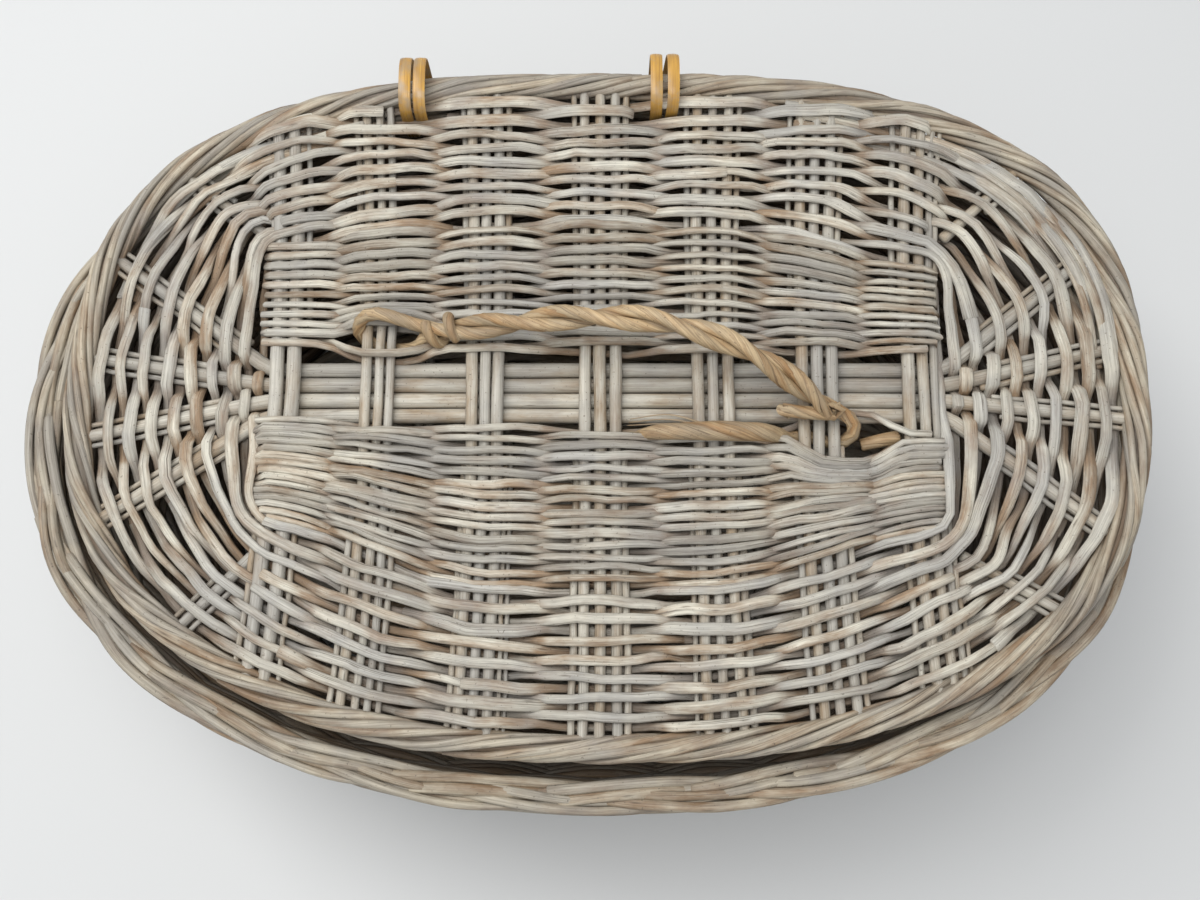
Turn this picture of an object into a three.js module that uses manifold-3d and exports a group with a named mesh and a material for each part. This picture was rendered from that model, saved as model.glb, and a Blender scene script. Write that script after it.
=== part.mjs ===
// A lidded oval willow basket. The woven body has a rolled rim, the flat woven lid hangs on two loops
// of split cane at the back, and a handle twisted from one long rod rocks on top of the lid.
// Millimetres, +Z up, +Y towards the cane loops. The origin is on the ground, in the middle of the
// footprint.
import * as THREE from "three";
import { mergeVertices } from "three/addons/utils/BufferGeometryUtils.js";
import Module from "manifold-3d";

const wasm = await Module();
wasm.setup();

// Fits that all the pieces share
const clearance = 0.3;
const overrun = 6;

// The rim, which is the widest part of the body
const rimHalfLength = 240;
const rimHalfWidth = 162;
const rimFrontLeftPower = 2.1;
const rimFrontRightPower = 2.4;
const rimBackPower = 2.3;
const rimTop = 165;
const rimBorderWidth = 16;
const rimBorderHeight = 15;

// The sides, which lean in towards the foot
const sideLean = 34;
const sideWeaveThickness = 6;
const sideWeaveDip = 3;
const topWaleThickness = 9;
const topWaleHeight = 11;
const stakeCount = 28;
const stakeRadius = 2.2;
const stakeProud = 1;
const stakePhaseShare = 0.11;
const stakeEndGap = 0.8;

// The foot ring and the woven bottom
const footWidth = 15;
const footHeight = 14;
const bottomWeaveRise = 5;
const bottomWeaveThickness = 7;
const bottomLongRadius = 3;
const bottomLongCount = 3;
const bottomCrossRadius = 2.6;
const bottomCrossCount = 2;
const bottomCrossSpacing = 90;

// The lid, which lies a little to the right of and behind the middle of the rim
const lidShiftX = 10;
const lidShiftY = 9.5;
const lidEndMargin = 10.5;
const lidSideMargin = 11.5;
const lidHalfLength = rimHalfLength - lidEndMargin;
const lidHalfWidth = rimHalfWidth - lidSideMargin;
const lidFrontLeftPower = 2.3;
const lidFrontRightPower = 2.35;
const lidBackPower = 2.8;
const lidBorderRadius = 6.5;
const lidRestGap = 0.3;
const lidWeaveBelow = 4.9;
const lidWeaveAbove = -0.2;

// The lid's sticks: four long ones side by side and seven cross groups of three
const longStickRadius = 3.2;
const longStickDrop = 2.7;
const spineShiftY = 3;
const crossStickRadius = 2.6;
const crossStickCount = 3;
const crossStickOverlapShare = 0.96;
const crossGroupShiftX = -2.5;
const crossGroupShares = [-0.5773, -0.4009, -0.207, 0, 0.207, 0.3965, 0.5773];
const crossGroupFanShare = 0.07;
const crossStickRise = 0.2;
const crossStickSettle = 2.8;
const crossStickSettleRun = 22;

// The bare middle of the lid and the straight weaving above and below it
const bareHalfWidth = 15;
const coreMargin = 8.5;
const coreHalfLength = lidHalfLength * Math.max(...crossGroupShares) + coreMargin;
const coreWidthShare = 0.465;
const coreHalfWidth = lidHalfWidth * coreWidthShare;

// The spokes that fan out at the lid's two ends, as angles from the lid's length
const leftSpokeDegrees = [36, 9, -12, -33];
const rightSpokeDegrees = [38, 12, -6, -38];
const leftCornerSpokeDegrees = [36, -46];
const rightCornerSpokeDegrees = [42, -30];
const cornerSpokeRadius = 2.8;
const cornerSpokeStandOff = 6;
const spokeBendStandOff = 2.5;

// Rows that pass over the spokes, by their inset and their reach from the lid's length
const overRowWidth = 7;
const overRowRise = 1.7;
const overRowBackDegrees = [49, 45, 38, 29];
const overRowFrontDegrees = [45, 41, 35, 26];
const overRowInsets = overRowBackDegrees.map(
  (_, row) => 2 * lidBorderRadius + (1 + 2 * row) * overRowWidth,
);

// The two hinge loops, each one strip of split cane wound twice round both borders
const leftLoopX = lidShiftX - lidHalfLength * 0.3725;
const rightLoopX = lidShiftX + lidHalfLength * 0.109;
const caneWidth = 5.5;
const caneThickness = 1.2;
const caneGap = 0.8;
const caneTurns = 2;
const loopEase = 1.65;
const loopPower = 3;
const lidOpenDegrees = 110;
const loopCrown = 11.6;
const loopDrop = 1.7;
const loopSlotMargin = 2;

// The handle: one rod hooked under a cross group at each end and twisted back on itself
const handleGroups = [1, 5];
const tailGroups = [4, 3];
const hookOver = 16.5;
const handleLeftY = 24;
const handleRightY = -17;
const strandRadius = 2.6;
const strandGap = 0.8;
const handleRise = 44;
const handleLeanDegrees = 33;
const twistTurns = 2.75;
const tailRadius = 2.9;
const tailReachShare = 0.75;
const handleNotchHalfWidth = 9.5;
const handleNotchShare = 0.48;

const rimOval = {
  x: 0,
  y: 0,
  halfLength: rimHalfLength,
  halfWidth: rimHalfWidth,
  frontLeftPower: rimFrontLeftPower,
  frontRightPower: rimFrontRightPower,
  backPower: rimBackPower,
};
const lidOval = {
  x: lidShiftX,
  y: lidShiftY,
  halfLength: lidHalfLength,
  halfWidth: lidHalfWidth,
  frontLeftPower: lidFrontLeftPower,
  frontRightPower: lidFrontRightPower,
  backPower: lidBackPower,
};

// Ovals. An inset moves the outline in towards the middle by that many millimetres.
function ovalPoint(oval, inset, angle) {
  const c = Math.cos(angle);
  const s = Math.sin(angle);
  const frontPower = c < 0 ? oval.frontLeftPower : oval.frontRightPower;
  const power = s < 0 ? frontPower : oval.backPower;
  const x = (oval.halfLength - inset) * Math.sign(c) * Math.abs(c) ** (2 / power);
  const y = (oval.halfWidth - inset) * Math.sign(s) * Math.abs(s) ** (2 / power);
  return [oval.x + x, oval.y + y];
}

// The angles that step round an oval in even lengths, from its right end, anticlockwise
const ovalSamples = 1440;
function evenAngles(oval, count, phaseShare = 0) {
  const lengths = [0];
  for (let i = 1; i <= ovalSamples; i += 1) {
    const [x0, y0] = ovalPoint(oval, 0, ((i - 1) / ovalSamples) * 2 * Math.PI);
    const [x1, y1] = ovalPoint(oval, 0, (i / ovalSamples) * 2 * Math.PI);
    lengths.push(lengths[i - 1] + Math.hypot(x1 - x0, y1 - y0));
  }
  return Array.from({ length: count }, (_, k) => {
    const wanted = ((k + phaseShare) / count) * lengths[ovalSamples];
    const i = lengths.findIndex((length) => length >= wanted);
    if (i < 1) return 0;
    const part = (wanted - lengths[i - 1]) / (lengths[i] - lengths[i - 1]);
    return ((i - 1 + part) / ovalSamples) * 2 * Math.PI;
  });
}

// The y of an oval's back edge above a given x
function backEdge(oval, inset, x) {
  const share = Math.abs(x - oval.x) / (oval.halfLength - inset);
  return oval.y + (oval.halfWidth - inset) * (1 - share ** oval.backPower) ** (1 / oval.backPower);
}

// Solids
const mergeTolerance = 1e-3;
function solidOf(geometry) {
  const bare = geometry.clone();
  bare.deleteAttribute("normal");
  bare.deleteAttribute("uv");
  const merged = mergeVertices(bare, mergeTolerance);
  return new wasm.Manifold(
    new wasm.Mesh({
      numProp: 3,
      vertProperties: new Float32Array(merged.attributes.position.array),
      triVerts: new Uint32Array(merged.index.array),
    }),
  );
}

function geometryOf(solid) {
  const mesh = solid.getMesh();
  const geometry = new THREE.BufferGeometry();
  geometry.setAttribute("position", new THREE.BufferAttribute(mesh.vertProperties, 3));
  geometry.setIndex(new THREE.BufferAttribute(mesh.triVerts, 1));
  geometry.computeVertexNormals();
  return geometry;
}

// A closed skin over rings of points. The rings join in a loop, or end in flat caps.
function skin(rings, looped) {
  const sides = rings[0].length;
  const faces = [];
  const last = looped ? rings.length : rings.length - 1;
  for (let k = 0; k < last; k += 1) {
    const next = (k + 1) % rings.length;
    for (let j = 0; j < sides; j += 1) {
      const side = (j + 1) % sides;
      const a = k * sides + j;
      const b = next * sides + j;
      const c = next * sides + side;
      const d = k * sides + side;
      faces.push(a, b, c, a, c, d);
    }
  }
  if (!looped) {
    for (let j = 1; j < sides - 1; j += 1) {
      const end = (rings.length - 1) * sides;
      faces.push(0, j, j + 1, end, end + j + 1, end + j);
    }
  }
  const geometry = new THREE.BufferGeometry();
  const places = new Float32Array(rings.flat(2));
  geometry.setAttribute("position", new THREE.BufferAttribute(places, 3));
  geometry.setIndex(faces);
  geometry.computeVertexNormals();
  return geometry;
}

// A ring round an oval. The profile lists [inset, z] corners, up the outside and down the inside.
function ring(oval, profile, angles) {
  const rings = angles.map((angle) =>
    profile.map(([inset, z]) => [...ovalPoint(oval, inset, angle), z]),
  );
  return skin(rings, true);
}

// The section of a rolled border, with its corners taken off
const borderCornerShare = 0.27;
function borderProfile(inset, width, bottom, height) {
  const dx = width * borderCornerShare;
  const dz = height * borderCornerShare;
  return [
    [inset, bottom + dz],
    [inset, bottom + height - dz],
    [inset + dx, bottom + height],
    [inset + width - dx, bottom + height],
    [inset + width, bottom + height - dz],
    [inset + width, bottom + dz],
    [inset + width - dx, bottom],
    [inset + dx, bottom],
  ];
}

// A round border's section, as a regular polygon with a flat underneath, round a middle height
const borderSides = 8;
function roundBorderProfile(radius, middle) {
  const flat = radius * Math.cos(Math.PI / borderSides);
  return Array.from({ length: borderSides }, (_, k) => {
    const angle = ((k - 0.5) / borderSides) * 2 * Math.PI;
    return [flat - radius * Math.cos(angle), middle + radius * Math.sin(angle)];
  });
}

// A flat oval plate
function plate(oval, inset, bottom, top, angles) {
  const outline = angles.map((angle) => new THREE.Vector2(...ovalPoint(oval, inset, angle)));
  const settings = { depth: top - bottom, bevelEnabled: false };
  return new THREE.ExtrudeGeometry(new THREE.Shape(outline), settings).translate(0, 0, bottom);
}

function box(low, high) {
  const size = high.map((value, i) => value - low[i]);
  const middle = high.map((value, i) => (value + low[i]) / 2);
  return new THREE.BoxGeometry(...size).translate(...middle);
}

const roundSides = 8;
function roundSection(radius, sides = roundSides) {
  const shape = new THREE.Shape();
  for (let i = 0; i < sides; i += 1) {
    const angle = ((i + 0.5) / sides) * 2 * Math.PI;
    shape[i ? "lineTo" : "moveTo"](radius * Math.cos(angle), radius * Math.sin(angle));
  }
  return shape;
}

// A round rod along a smooth line through the points
function rod(points, radius, steps, sides = roundSides) {
  const straight = points.length === 2;
  const path = straight ? new THREE.LineCurve3(...points) : new THREE.CatmullRomCurve3(points);
  return new THREE.ExtrudeGeometry(roundSection(radius, sides), {
    steps: straight ? 1 : steps,
    bevelEnabled: false,
    extrudePath: path,
  });
}

// The section of a row of touching sticks, as one lobed outline
const lobeDegrees = [30, 90, 150];
function lobe(middle, radius, degrees) {
  const angle = THREE.MathUtils.degToRad(degrees);
  return [middle + radius * Math.cos(angle), radius * Math.sin(angle)];
}
function wholeSection(upper) {
  return [...upper, ...upper.map(([x, z]) => [-x, -z])];
}
function rowSection(radius, count) {
  const pitch = 2 * radius * crossStickOverlapShare;
  const upper = [];
  for (let i = 0; i < count; i += 1) {
    const middle = ((count - 1) / 2 - i) * pitch;
    lobeDegrees.forEach((degrees) => upper.push(lobe(middle, radius, degrees)));
  }
  return wholeSection(upper);
}

// The section of the channel that such a row lies in, a clearance wider and smooth
function channelSection(radius, count) {
  const outermost = (count - 1) * radius * crossStickOverlapShare;
  const wide = radius + clearance;
  const [right, top, left] = lobeDegrees;
  return wholeSection([
    lobe(outermost, wide, right),
    lobe(outermost, wide, top),
    lobe(-outermost, wide, top),
    lobe(-outermost, wide, left),
  ]);
}

// A row or channel that runs along Y. Each station is [x, y, z].
function alongRow(stations, section) {
  return skin(
    stations.map(([x, y, z]) => section.map(([dx, dz]) => [x + dx, y, z + dz])),
    false,
  );
}

function stickRowHalfWidth(radius, count) {
  return (count - 1) * radius * crossStickOverlapShare + radius;
}

// Finishes of the named pieces
const willow = new THREE.MeshStandardMaterial({ color: 0xb5a58c, roughness: 0.75, metalness: 0 });
const stick = new THREE.MeshStandardMaterial({ color: 0xc2b8a2, roughness: 0.7, metalness: 0 });
const border = new THREE.MeshStandardMaterial({ color: 0x9c8a70, roughness: 0.75, metalness: 0 });
const handleRod = new THREE.MeshStandardMaterial({ color: 0xa98a5c, roughness: 0.65, metalness: 0 });
const cane = new THREE.MeshStandardMaterial({ color: 0xc79a45, roughness: 0.4, metalness: 0 });

const basket = new THREE.Group();
function addPiece(name, geometry, material) {
  const mesh = new THREE.Mesh(geometry, material);
  mesh.name = name;
  basket.add(mesh);
}

// The body's levels and insets, from the ground up
const bodyStations = 64;
const bodyAngles = evenAngles(rimOval, bodyStations);
const rimBottom = rimTop - rimBorderHeight;
const topWaleTop = rimBottom - clearance;
const topWaleBottom = topWaleTop - topWaleHeight;
const sideTop = topWaleBottom - clearance;
const sideBottom = footHeight + clearance;
const sideTopInset = (rimBorderWidth - sideWeaveThickness) / 2;

// The inset of the side's outer face at a height
function sideInset(z) {
  const share = (rimBottom - z) / (rimBottom - footHeight);
  return sideTopInset + sideLean * share;
}

function sideProfile(bottom, top, thickness) {
  const extra = (thickness - sideWeaveThickness) / 2;
  return [
    [sideInset(bottom) - extra, bottom],
    [sideInset(top) - extra, top],
    [sideInset(top) - extra + thickness, top],
    [sideInset(bottom) - extra + thickness, bottom],
  ];
}

// The side's weave stands out over each stake and dips in the middle between two of them
const stationsPerStake = 4;
function sideWall(bottom, top) {
  const angles = evenAngles(
    rimOval,
    stakeCount * stationsPerStake,
    stakePhaseShare * stationsPerStake,
  );
  const [outerBottom, outerTop, ...inner] = sideProfile(bottom, top, sideWeaveThickness);
  const rings = angles.map((angle, k) => {
    const dip = (sideWeaveDip * (1 - Math.cos((k / stationsPerStake) * 2 * Math.PI))) / 2;
    const outer = [outerBottom, outerTop].map(([inset, z]) => [inset + dip, z]);
    return [...outer, ...inner].map(([inset, z]) => [...ovalPoint(rimOval, inset, angle), z]);
  });
  return skin(rings, true);
}

// The stakes stand in channels on the inside of the weave, a little proud of it
const stakeInset = sideWeaveThickness + stakeProud - stakeRadius;
function stakeAt(angle, radius, bottom, top) {
  const foot = ovalPoint(rimOval, sideInset(bottom) + stakeInset, angle);
  const head = ovalPoint(rimOval, sideInset(top) + stakeInset, angle);
  return rod([new THREE.Vector3(...foot, bottom), new THREE.Vector3(...head, top)], radius, 1);
}

const stakeAngles = evenAngles(rimOval, stakeCount, stakePhaseShare);
const stakeChannels = stakeAngles.map((angle) =>
  solidOf(stakeAt(angle, stakeRadius + clearance, footHeight - overrun, rimBottom + overrun)),
);

addPiece(
  "rim_border",
  ring(rimOval, borderProfile(0, rimBorderWidth, rimBottom, rimBorderHeight), bodyAngles),
  border,
);

let topWale = solidOf(
  ring(rimOval, sideProfile(topWaleBottom, topWaleTop, topWaleThickness), bodyAngles),
);
let sideWeave = solidOf(sideWall(sideBottom, sideTop));
stakeChannels.forEach((channel) => {
  topWale = topWale.subtract(channel);
  sideWeave = sideWeave.subtract(channel);
});

stakeAngles.forEach((angle, i) => {
  const stake = stakeAt(angle, stakeRadius, sideBottom + stakeEndGap, topWaleTop - stakeEndGap);
  addPiece(`side_stake_${String(i + 1).padStart(2, "0")}`, stake, stick);
});
addPiece("side_weave", geometryOf(sideWeave), willow);

// The foot ring carries the body, and the woven bottom fills it
const footInset = sideInset(footHeight) - (footWidth - sideWeaveThickness) / 2;
const footDrop = footHeight * borderCornerShare;
addPiece(
  "foot_wale",
  ring(
    rimOval,
    [
      [footInset, 0],
      [footInset - clearance, footDrop],
      [footInset, footHeight],
      [footInset + footWidth, footHeight],
      [footInset + footWidth, 0],
    ],
    bodyAngles,
  ),
  willow,
);

const bottomInset = footInset + footWidth + clearance;
const bottomTop = bottomWeaveRise + bottomWeaveThickness;
const bottomLongZ = bottomWeaveRise + bottomLongRadius / 2;
const bottomCrossZ = bottomLongZ + bottomLongRadius + clearance + bottomCrossRadius;
const bottomInside = solidOf(plate(rimOval, bottomInset, -overrun, rimTop, bodyAngles));

// The bottom's long sticks lie along X, so the row is made along Y and turned
function bottomLongRow(section) {
  const reach = rimHalfLength;
  const stations = [
    [0, -reach, bottomLongZ],
    [0, reach, bottomLongZ],
  ];
  return solidOf(alongRow(stations, section).rotateZ(Math.PI / 2));
}
function bottomCrossRow(x, section) {
  const stations = [
    [x, -rimHalfWidth, bottomCrossZ],
    [x, rimHalfWidth, bottomCrossZ],
  ];
  return solidOf(alongRow(stations, section));
}

const bottomLongSection = rowSection(bottomLongRadius, bottomLongCount);
const bottomLongChannel = channelSection(bottomLongRadius, bottomLongCount);
const bottomCrossSection = rowSection(bottomCrossRadius, bottomCrossCount);
const bottomCrossChannel = channelSection(bottomCrossRadius, bottomCrossCount);
const bottomCrossPlaces = [-bottomCrossSpacing, 0, bottomCrossSpacing];
let bottomWeave = solidOf(
  plate(rimOval, bottomInset, bottomWeaveRise, bottomTop, bodyAngles),
).subtract(bottomLongRow(bottomLongChannel));
bottomCrossPlaces.forEach((x, i) => {
  bottomWeave = bottomWeave.subtract(bottomCrossRow(x, bottomCrossChannel));
  const row = bottomCrossRow(x, bottomCrossSection).intersect(bottomInside);
  addPiece(`bottom_cross_sticks_${i + 1}`, geometryOf(row), stick);
});
addPiece("bottom_weave", geometryOf(bottomWeave), willow);
addPiece(
  "bottom_long_sticks",
  geometryOf(bottomLongRow(bottomLongSection).intersect(bottomInside)),
  stick,
);

// The lid's levels, from the top of the rim up
const lidStations = 60;
const lidAngles = evenAngles(lidOval, lidStations);
const lidMiddle = rimTop + lidRestGap + lidBorderRadius;
const lidBottom = rimTop + lidRestGap;
const weaveBottom = lidMiddle - lidWeaveBelow;
const weaveTop = lidMiddle + lidWeaveAbove;
const lidBorderWidth = 2 * lidBorderRadius * Math.cos(Math.PI / borderSides);
const weaveInset = lidBorderWidth + clearance;
const longStickZ = lidMiddle - longStickDrop;
const crossStickZ = longStickZ + longStickRadius + crossStickRise + crossStickRadius;
const spineY = lidShiftY + spineShiftY;
const groupHalfWidth = stickRowHalfWidth(crossStickRadius, crossStickCount);
const insideBorder = solidOf(
  plate(lidOval, weaveInset, lidBottom - overrun, crossStickZ + overrun, lidAngles),
);

addPiece(
  "lid_border",
  ring(lidOval, roundBorderProfile(lidBorderRadius, lidMiddle), lidAngles),
  border,
);

// Cross groups pass over the long sticks in the middle, and settle into the weave on either side
function groupX(i, y) {
  const fan = 1 + crossGroupFanShare * (Math.abs(y - spineY) / lidHalfWidth) ** 2;
  return lidShiftX + crossGroupShiftX + crossGroupShares[i] * lidHalfLength * fan;
}

function groupZ(y) {
  const beyond = (Math.abs(y - spineY) - bareHalfWidth) / crossStickSettleRun;
  const share = THREE.MathUtils.smoothstep(beyond, 0, 1);
  return crossStickZ - crossStickSettle * share;
}

const settleShares = [0, 0.5, 1];
const outerShares = [0.5, 1];
function groupStations(i) {
  const settled = bareHalfWidth + crossStickSettleRun;
  const half = [
    ...settleShares.map((share) => bareHalfWidth + crossStickSettleRun * share),
    ...outerShares.map((share) => settled + (lidHalfWidth - settled) * share),
  ];
  const places = [...half.map((y) => -y).reverse(), ...half];
  return places.map((y) => [groupX(i, spineY + y), spineY + y, groupZ(spineY + y)]);
}

// Long sticks lie side by side in the middle and splay into spokes at both ends
const spokeRunShare = 1.2;
function spokePoints(startX, startY, direction, degrees) {
  const angle = THREE.MathUtils.degToRad(degrees);
  const run = lidHalfLength * spokeRunShare - Math.abs(startX - lidShiftX);
  const reach = run / Math.max(Math.cos(angle), Math.sin(Math.abs(angle)));
  const endX = startX + direction * reach * Math.cos(angle);
  return new THREE.Vector3(endX, startY + reach * Math.sin(angle), longStickZ);
}

const longStickPitch = 2 * longStickRadius + clearance;
function longStickPath(i) {
  const y = spineY + (1.5 - i) * longStickPitch;
  const left = lidShiftX - coreHalfLength - spokeBendStandOff;
  const right = lidShiftX + coreHalfLength + spokeBendStandOff;
  return [
    spokePoints(left, y, -1, leftSpokeDegrees[i]),
    new THREE.Vector3(left, y, longStickZ),
    new THREE.Vector3(right, y, longStickZ),
    spokePoints(right, y, 1, rightSpokeDegrees[i]),
  ];
}

// A stick with two bends, as three straight rods joined at the bends by balls
function bentStick(points, radius) {
  let solid = null;
  for (let i = 0; i + 1 < points.length; i += 1) {
    const length = solidOf(rod([points[i], points[i + 1]], radius, 1));
    solid = solid ? solid.add(length) : length;
    if (i > 0) {
      const ball = new THREE.SphereGeometry(radius, roundSides, roundSides / 2);
      solid = solid.add(solidOf(ball.translate(...points[i].toArray())));
    }
  }
  return solid;
}

function cornerSpokePath(direction, degrees) {
  const x = lidShiftX + direction * (coreHalfLength + cornerSpokeStandOff);
  const y = spineY + Math.sign(degrees) * coreHalfWidth;
  const start = new THREE.Vector3(x, y, longStickZ);
  return [start, spokePoints(x, y, direction, degrees)];
}

const cornerSpokes = [
  ["left_back", -1, leftCornerSpokeDegrees[0]],
  ["left_front", -1, leftCornerSpokeDegrees[1]],
  ["right_back", 1, rightCornerSpokeDegrees[0]],
  ["right_front", 1, rightCornerSpokeDegrees[1]],
];

// The handle turns on a line that runs under two cross groups
const hookZ = groupZ(lidShiftY + handleLeftY) - crossStickRadius - clearance - strandRadius;
const hookLeft = new THREE.Vector3(
  groupX(handleGroups[0], lidShiftY + handleLeftY),
  lidShiftY + handleLeftY,
  hookZ,
);
const hookRight = new THREE.Vector3(
  groupX(handleGroups[1], lidShiftY + handleRightY),
  lidShiftY + handleRightY,
  hookZ,
);
const alongHandle = hookRight.clone().sub(hookLeft).normalize();
const handleSpan = hookRight.distanceTo(hookLeft);
const backOfHandle = new THREE.Vector3(0, 0, 1).cross(alongHandle);
const lean = THREE.MathUtils.degToRad(handleLeanDegrees);
const upHandle = new THREE.Vector3(0, 0, Math.cos(lean)).addScaledVector(
  backOfHandle,
  Math.sin(lean),
);
const sideOfHandle = alongHandle.clone().cross(upHandle);

// A point by its run along the turning line, its rise from it and its offset to the side
function handlePoint(run, rise, side = 0) {
  return hookLeft
    .clone()
    .addScaledVector(alongHandle, run)
    .addScaledVector(upHandle, rise)
    .addScaledVector(sideOfHandle, side);
}

// The arch as shares of the span and of the rise, chosen to follow the photograph's lopsided bow
const archRunShares = [0.12, 0.26, 0.42, 0.58, 0.72, 0.84, 0.93, 1.0];
const archRiseShares = [0.34, 0.58, 0.85, 1.0, 0.97, 0.81, 0.6, 0.4];
const arch = new THREE.CatmullRomCurve3(
  archRunShares.map((share, i) => handlePoint(share * handleSpan, archRiseShares[i] * handleRise)),
);

const twistRadius = strandRadius + strandGap / 2;
const twistSteps = 26;
function twistedStrand(startTurn) {
  return Array.from({ length: twistSteps + 1 }, (_, k) => {
    const share = k / twistSteps;
    const angle = (startTurn + twistTurns * share) * 2 * Math.PI;
    const place = arch.getPointAt(share);
    const tangent = arch.getTangentAt(share);
    const outward = sideOfHandle.clone().cross(tangent).negate();
    return place
      .addScaledVector(outward, -twistRadius * Math.cos(angle))
      .addScaledVector(sideOfHandle, twistRadius * Math.sin(angle));
  });
}

// The hooks round the cross groups, as shares of the hook's reach along the handle's line and of the
// rise over the group. The left one joins the two strands and the right ones end the rod.
const hookReach = groupHalfWidth + clearance + strandRadius;
const leftHookShares = [
  [1.35, 0.25],
  [0.75, 0],
  [-0.7, 0],
  [-1.12, 0.24],
  [-1.1, 0.63],
  [-0.6, 1],
];
const rightHookShares = [
  [0.95, 0.82],
  [1.2, 0.32],
  [0.75, 0],
  [0, 0],
  [-0.3, 0],
];
function hookPoints(run, shares) {
  return shares.map(([along, up]) => handlePoint(run + along * hookReach, up * hookOver));
}
const upperStrand = twistedStrand(0);
const lowerStrand = twistedStrand(0.5);
const handlePath = [
  ...lowerStrand.slice().reverse(),
  ...hookPoints(0, leftHookShares),
  ...upperStrand,
  ...hookPoints(handleSpan, rightHookShares),
];
const handleSteps = 120;
const handleSides = 6;
addPiece("handle_rod", rod(handlePath, strandRadius, handleSteps, handleSides), handleRod);

// The rod's tail goes on from the right hook, over the next group and down into the weave. Its
// path lists shares of the tail's length and of its rise over the group.
const tailStartShare = 0.3;
const tailShares = [
  [0.12, 0.05],
  [0.26, 0.72],
  [0.52, 1],
  [0.86, 0.78],
  [1, 0],
];
const tailStart = handlePoint(handleSpan - hookReach * tailStartShare - clearance, 0);
const [tailGroupX, lastGroupX] = tailGroups.map((group) => groupX(group, tailStart.y));
const tailLength = tailStart.x - tailGroupX + tailReachShare * (tailGroupX - lastGroupX);
const tailOver = crossStickZ + crossStickRadius + clearance + tailRadius - hookZ;
const tailPath = [
  tailStart,
  handlePoint(handleSpan - hookReach * tailStartShare * 2 - clearance, 0),
  ...tailShares.map(([along, up]) =>
    tailStart.clone().add(new THREE.Vector3(-along * tailLength, 0, up * tailOver)),
  ),
];
const tailSteps = 16;
addPiece("handle_tail", rod(tailPath, tailRadius, tailSteps), handleRod);
const tailChannel = solidOf(rod(tailPath, tailRadius + clearance, tailSteps));

// Room in the weave for each hook to rock
const handleNotchHalfLength = handleNotchShare * (hookRight.x - tailGroupX);
function handleNotch(hook) {
  return solidOf(
    box(
      [hook.x - handleNotchHalfLength, hook.y - handleNotchHalfWidth, weaveBottom - overrun],
      [hook.x + handleNotchHalfLength, hook.y + handleNotchHalfWidth, weaveTop + overrun],
    ),
  );
}

// A row of the weave that passes over the spokes at one end of the lid
const overRowStations = 14;
const overRowTop = longStickZ + longStickRadius + clearance + overRowRise;
function overRow(i, rightEnd) {
  const inset = overRowInsets[i];
  const backReach = overRowBackDegrees[i];
  const frontReach = overRowFrontDegrees[i];
  const from = rightEnd ? -frontReach : 180 - backReach;
  const rings = [];
  for (let k = 0; k <= overRowStations; k += 1) {
    const degrees = from + ((backReach + frontReach) * k) / overRowStations;
    const angle = THREE.MathUtils.degToRad(degrees);
    const outer = ovalPoint(lidOval, inset, angle);
    const inner = ovalPoint(lidOval, inset + overRowWidth, angle);
    rings.push([
      [...outer, weaveBottom],
      [...outer, overRowTop],
      [...inner, overRowTop],
      [...inner, weaveBottom],
    ]);
  }
  return solidOf(skin(rings, false));
}

// The lid's weaving: two straight panels beside the bare middle, and the round that surrounds them
const coreLow = [lidShiftX - coreHalfLength, spineY - coreHalfWidth, weaveBottom];
const coreHigh = [lidShiftX + coreHalfLength, spineY + coreHalfWidth, weaveTop];
const bareLow = spineY - bareHalfWidth;
const bareHigh = spineY + bareHalfWidth;
let backCore = solidOf(box([coreLow[0], bareHigh, coreLow[2]], coreHigh));
let frontCore = solidOf(box(coreLow, [coreHigh[0], bareLow, coreHigh[2]]));
const coreHole = solidOf(
  box(
    coreLow.map((value) => value - clearance),
    coreHigh.map((value) => value + clearance),
  ),
);
let roundWeave = solidOf(plate(lidOval, weaveInset, weaveBottom, weaveTop, lidAngles));
roundWeave = roundWeave.subtract(coreHole);
overRowInsets.forEach((_, i) => {
  roundWeave = roundWeave.add(overRow(i, true)).add(overRow(i, false));
});

const groupSection = rowSection(crossStickRadius, crossStickCount);
const groupChannel = channelSection(crossStickRadius, crossStickCount);
crossGroupShares.forEach((_, i) => {
  const stations = groupStations(i);
  const channel = solidOf(alongRow(stations, groupChannel));
  backCore = backCore.subtract(channel);
  frontCore = frontCore.subtract(channel);
  roundWeave = roundWeave.subtract(channel);
  const group = solidOf(alongRow(stations, groupSection));
  addPiece(`lid_cross_sticks_${i + 1}`, geometryOf(group.intersect(insideBorder)), stick);
});

for (let i = 0; i < leftSpokeDegrees.length; i += 1) {
  const path = longStickPath(i);
  roundWeave = roundWeave.subtract(bentStick(path, longStickRadius + clearance));
  const solid = bentStick(path, longStickRadius).intersect(insideBorder);
  addPiece(`lid_long_stick_${i + 1}`, geometryOf(solid), stick);
}

cornerSpokes.forEach(([place, direction, degrees]) => {
  const path = cornerSpokePath(direction, degrees);
  roundWeave = roundWeave.subtract(solidOf(rod(path, cornerSpokeRadius + clearance, 1)));
  const solid = solidOf(rod(path, cornerSpokeRadius, 1)).intersect(insideBorder);
  addPiece(`lid_spoke_${place}`, geometryOf(solid), stick);
});

backCore = backCore.subtract(handleNotch(hookLeft));
frontCore = frontCore.subtract(handleNotch(hookRight)).subtract(tailChannel);

// The hinge loops
const hingeY = lidShiftY + lidHalfWidth - lidBorderWidth / 2;
const hingeZ = lidMiddle;
function borderMiddle(oval, width, x) {
  return backEdge(oval, width / 2, x);
}
const loopTurnSteps = 26;

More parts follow.
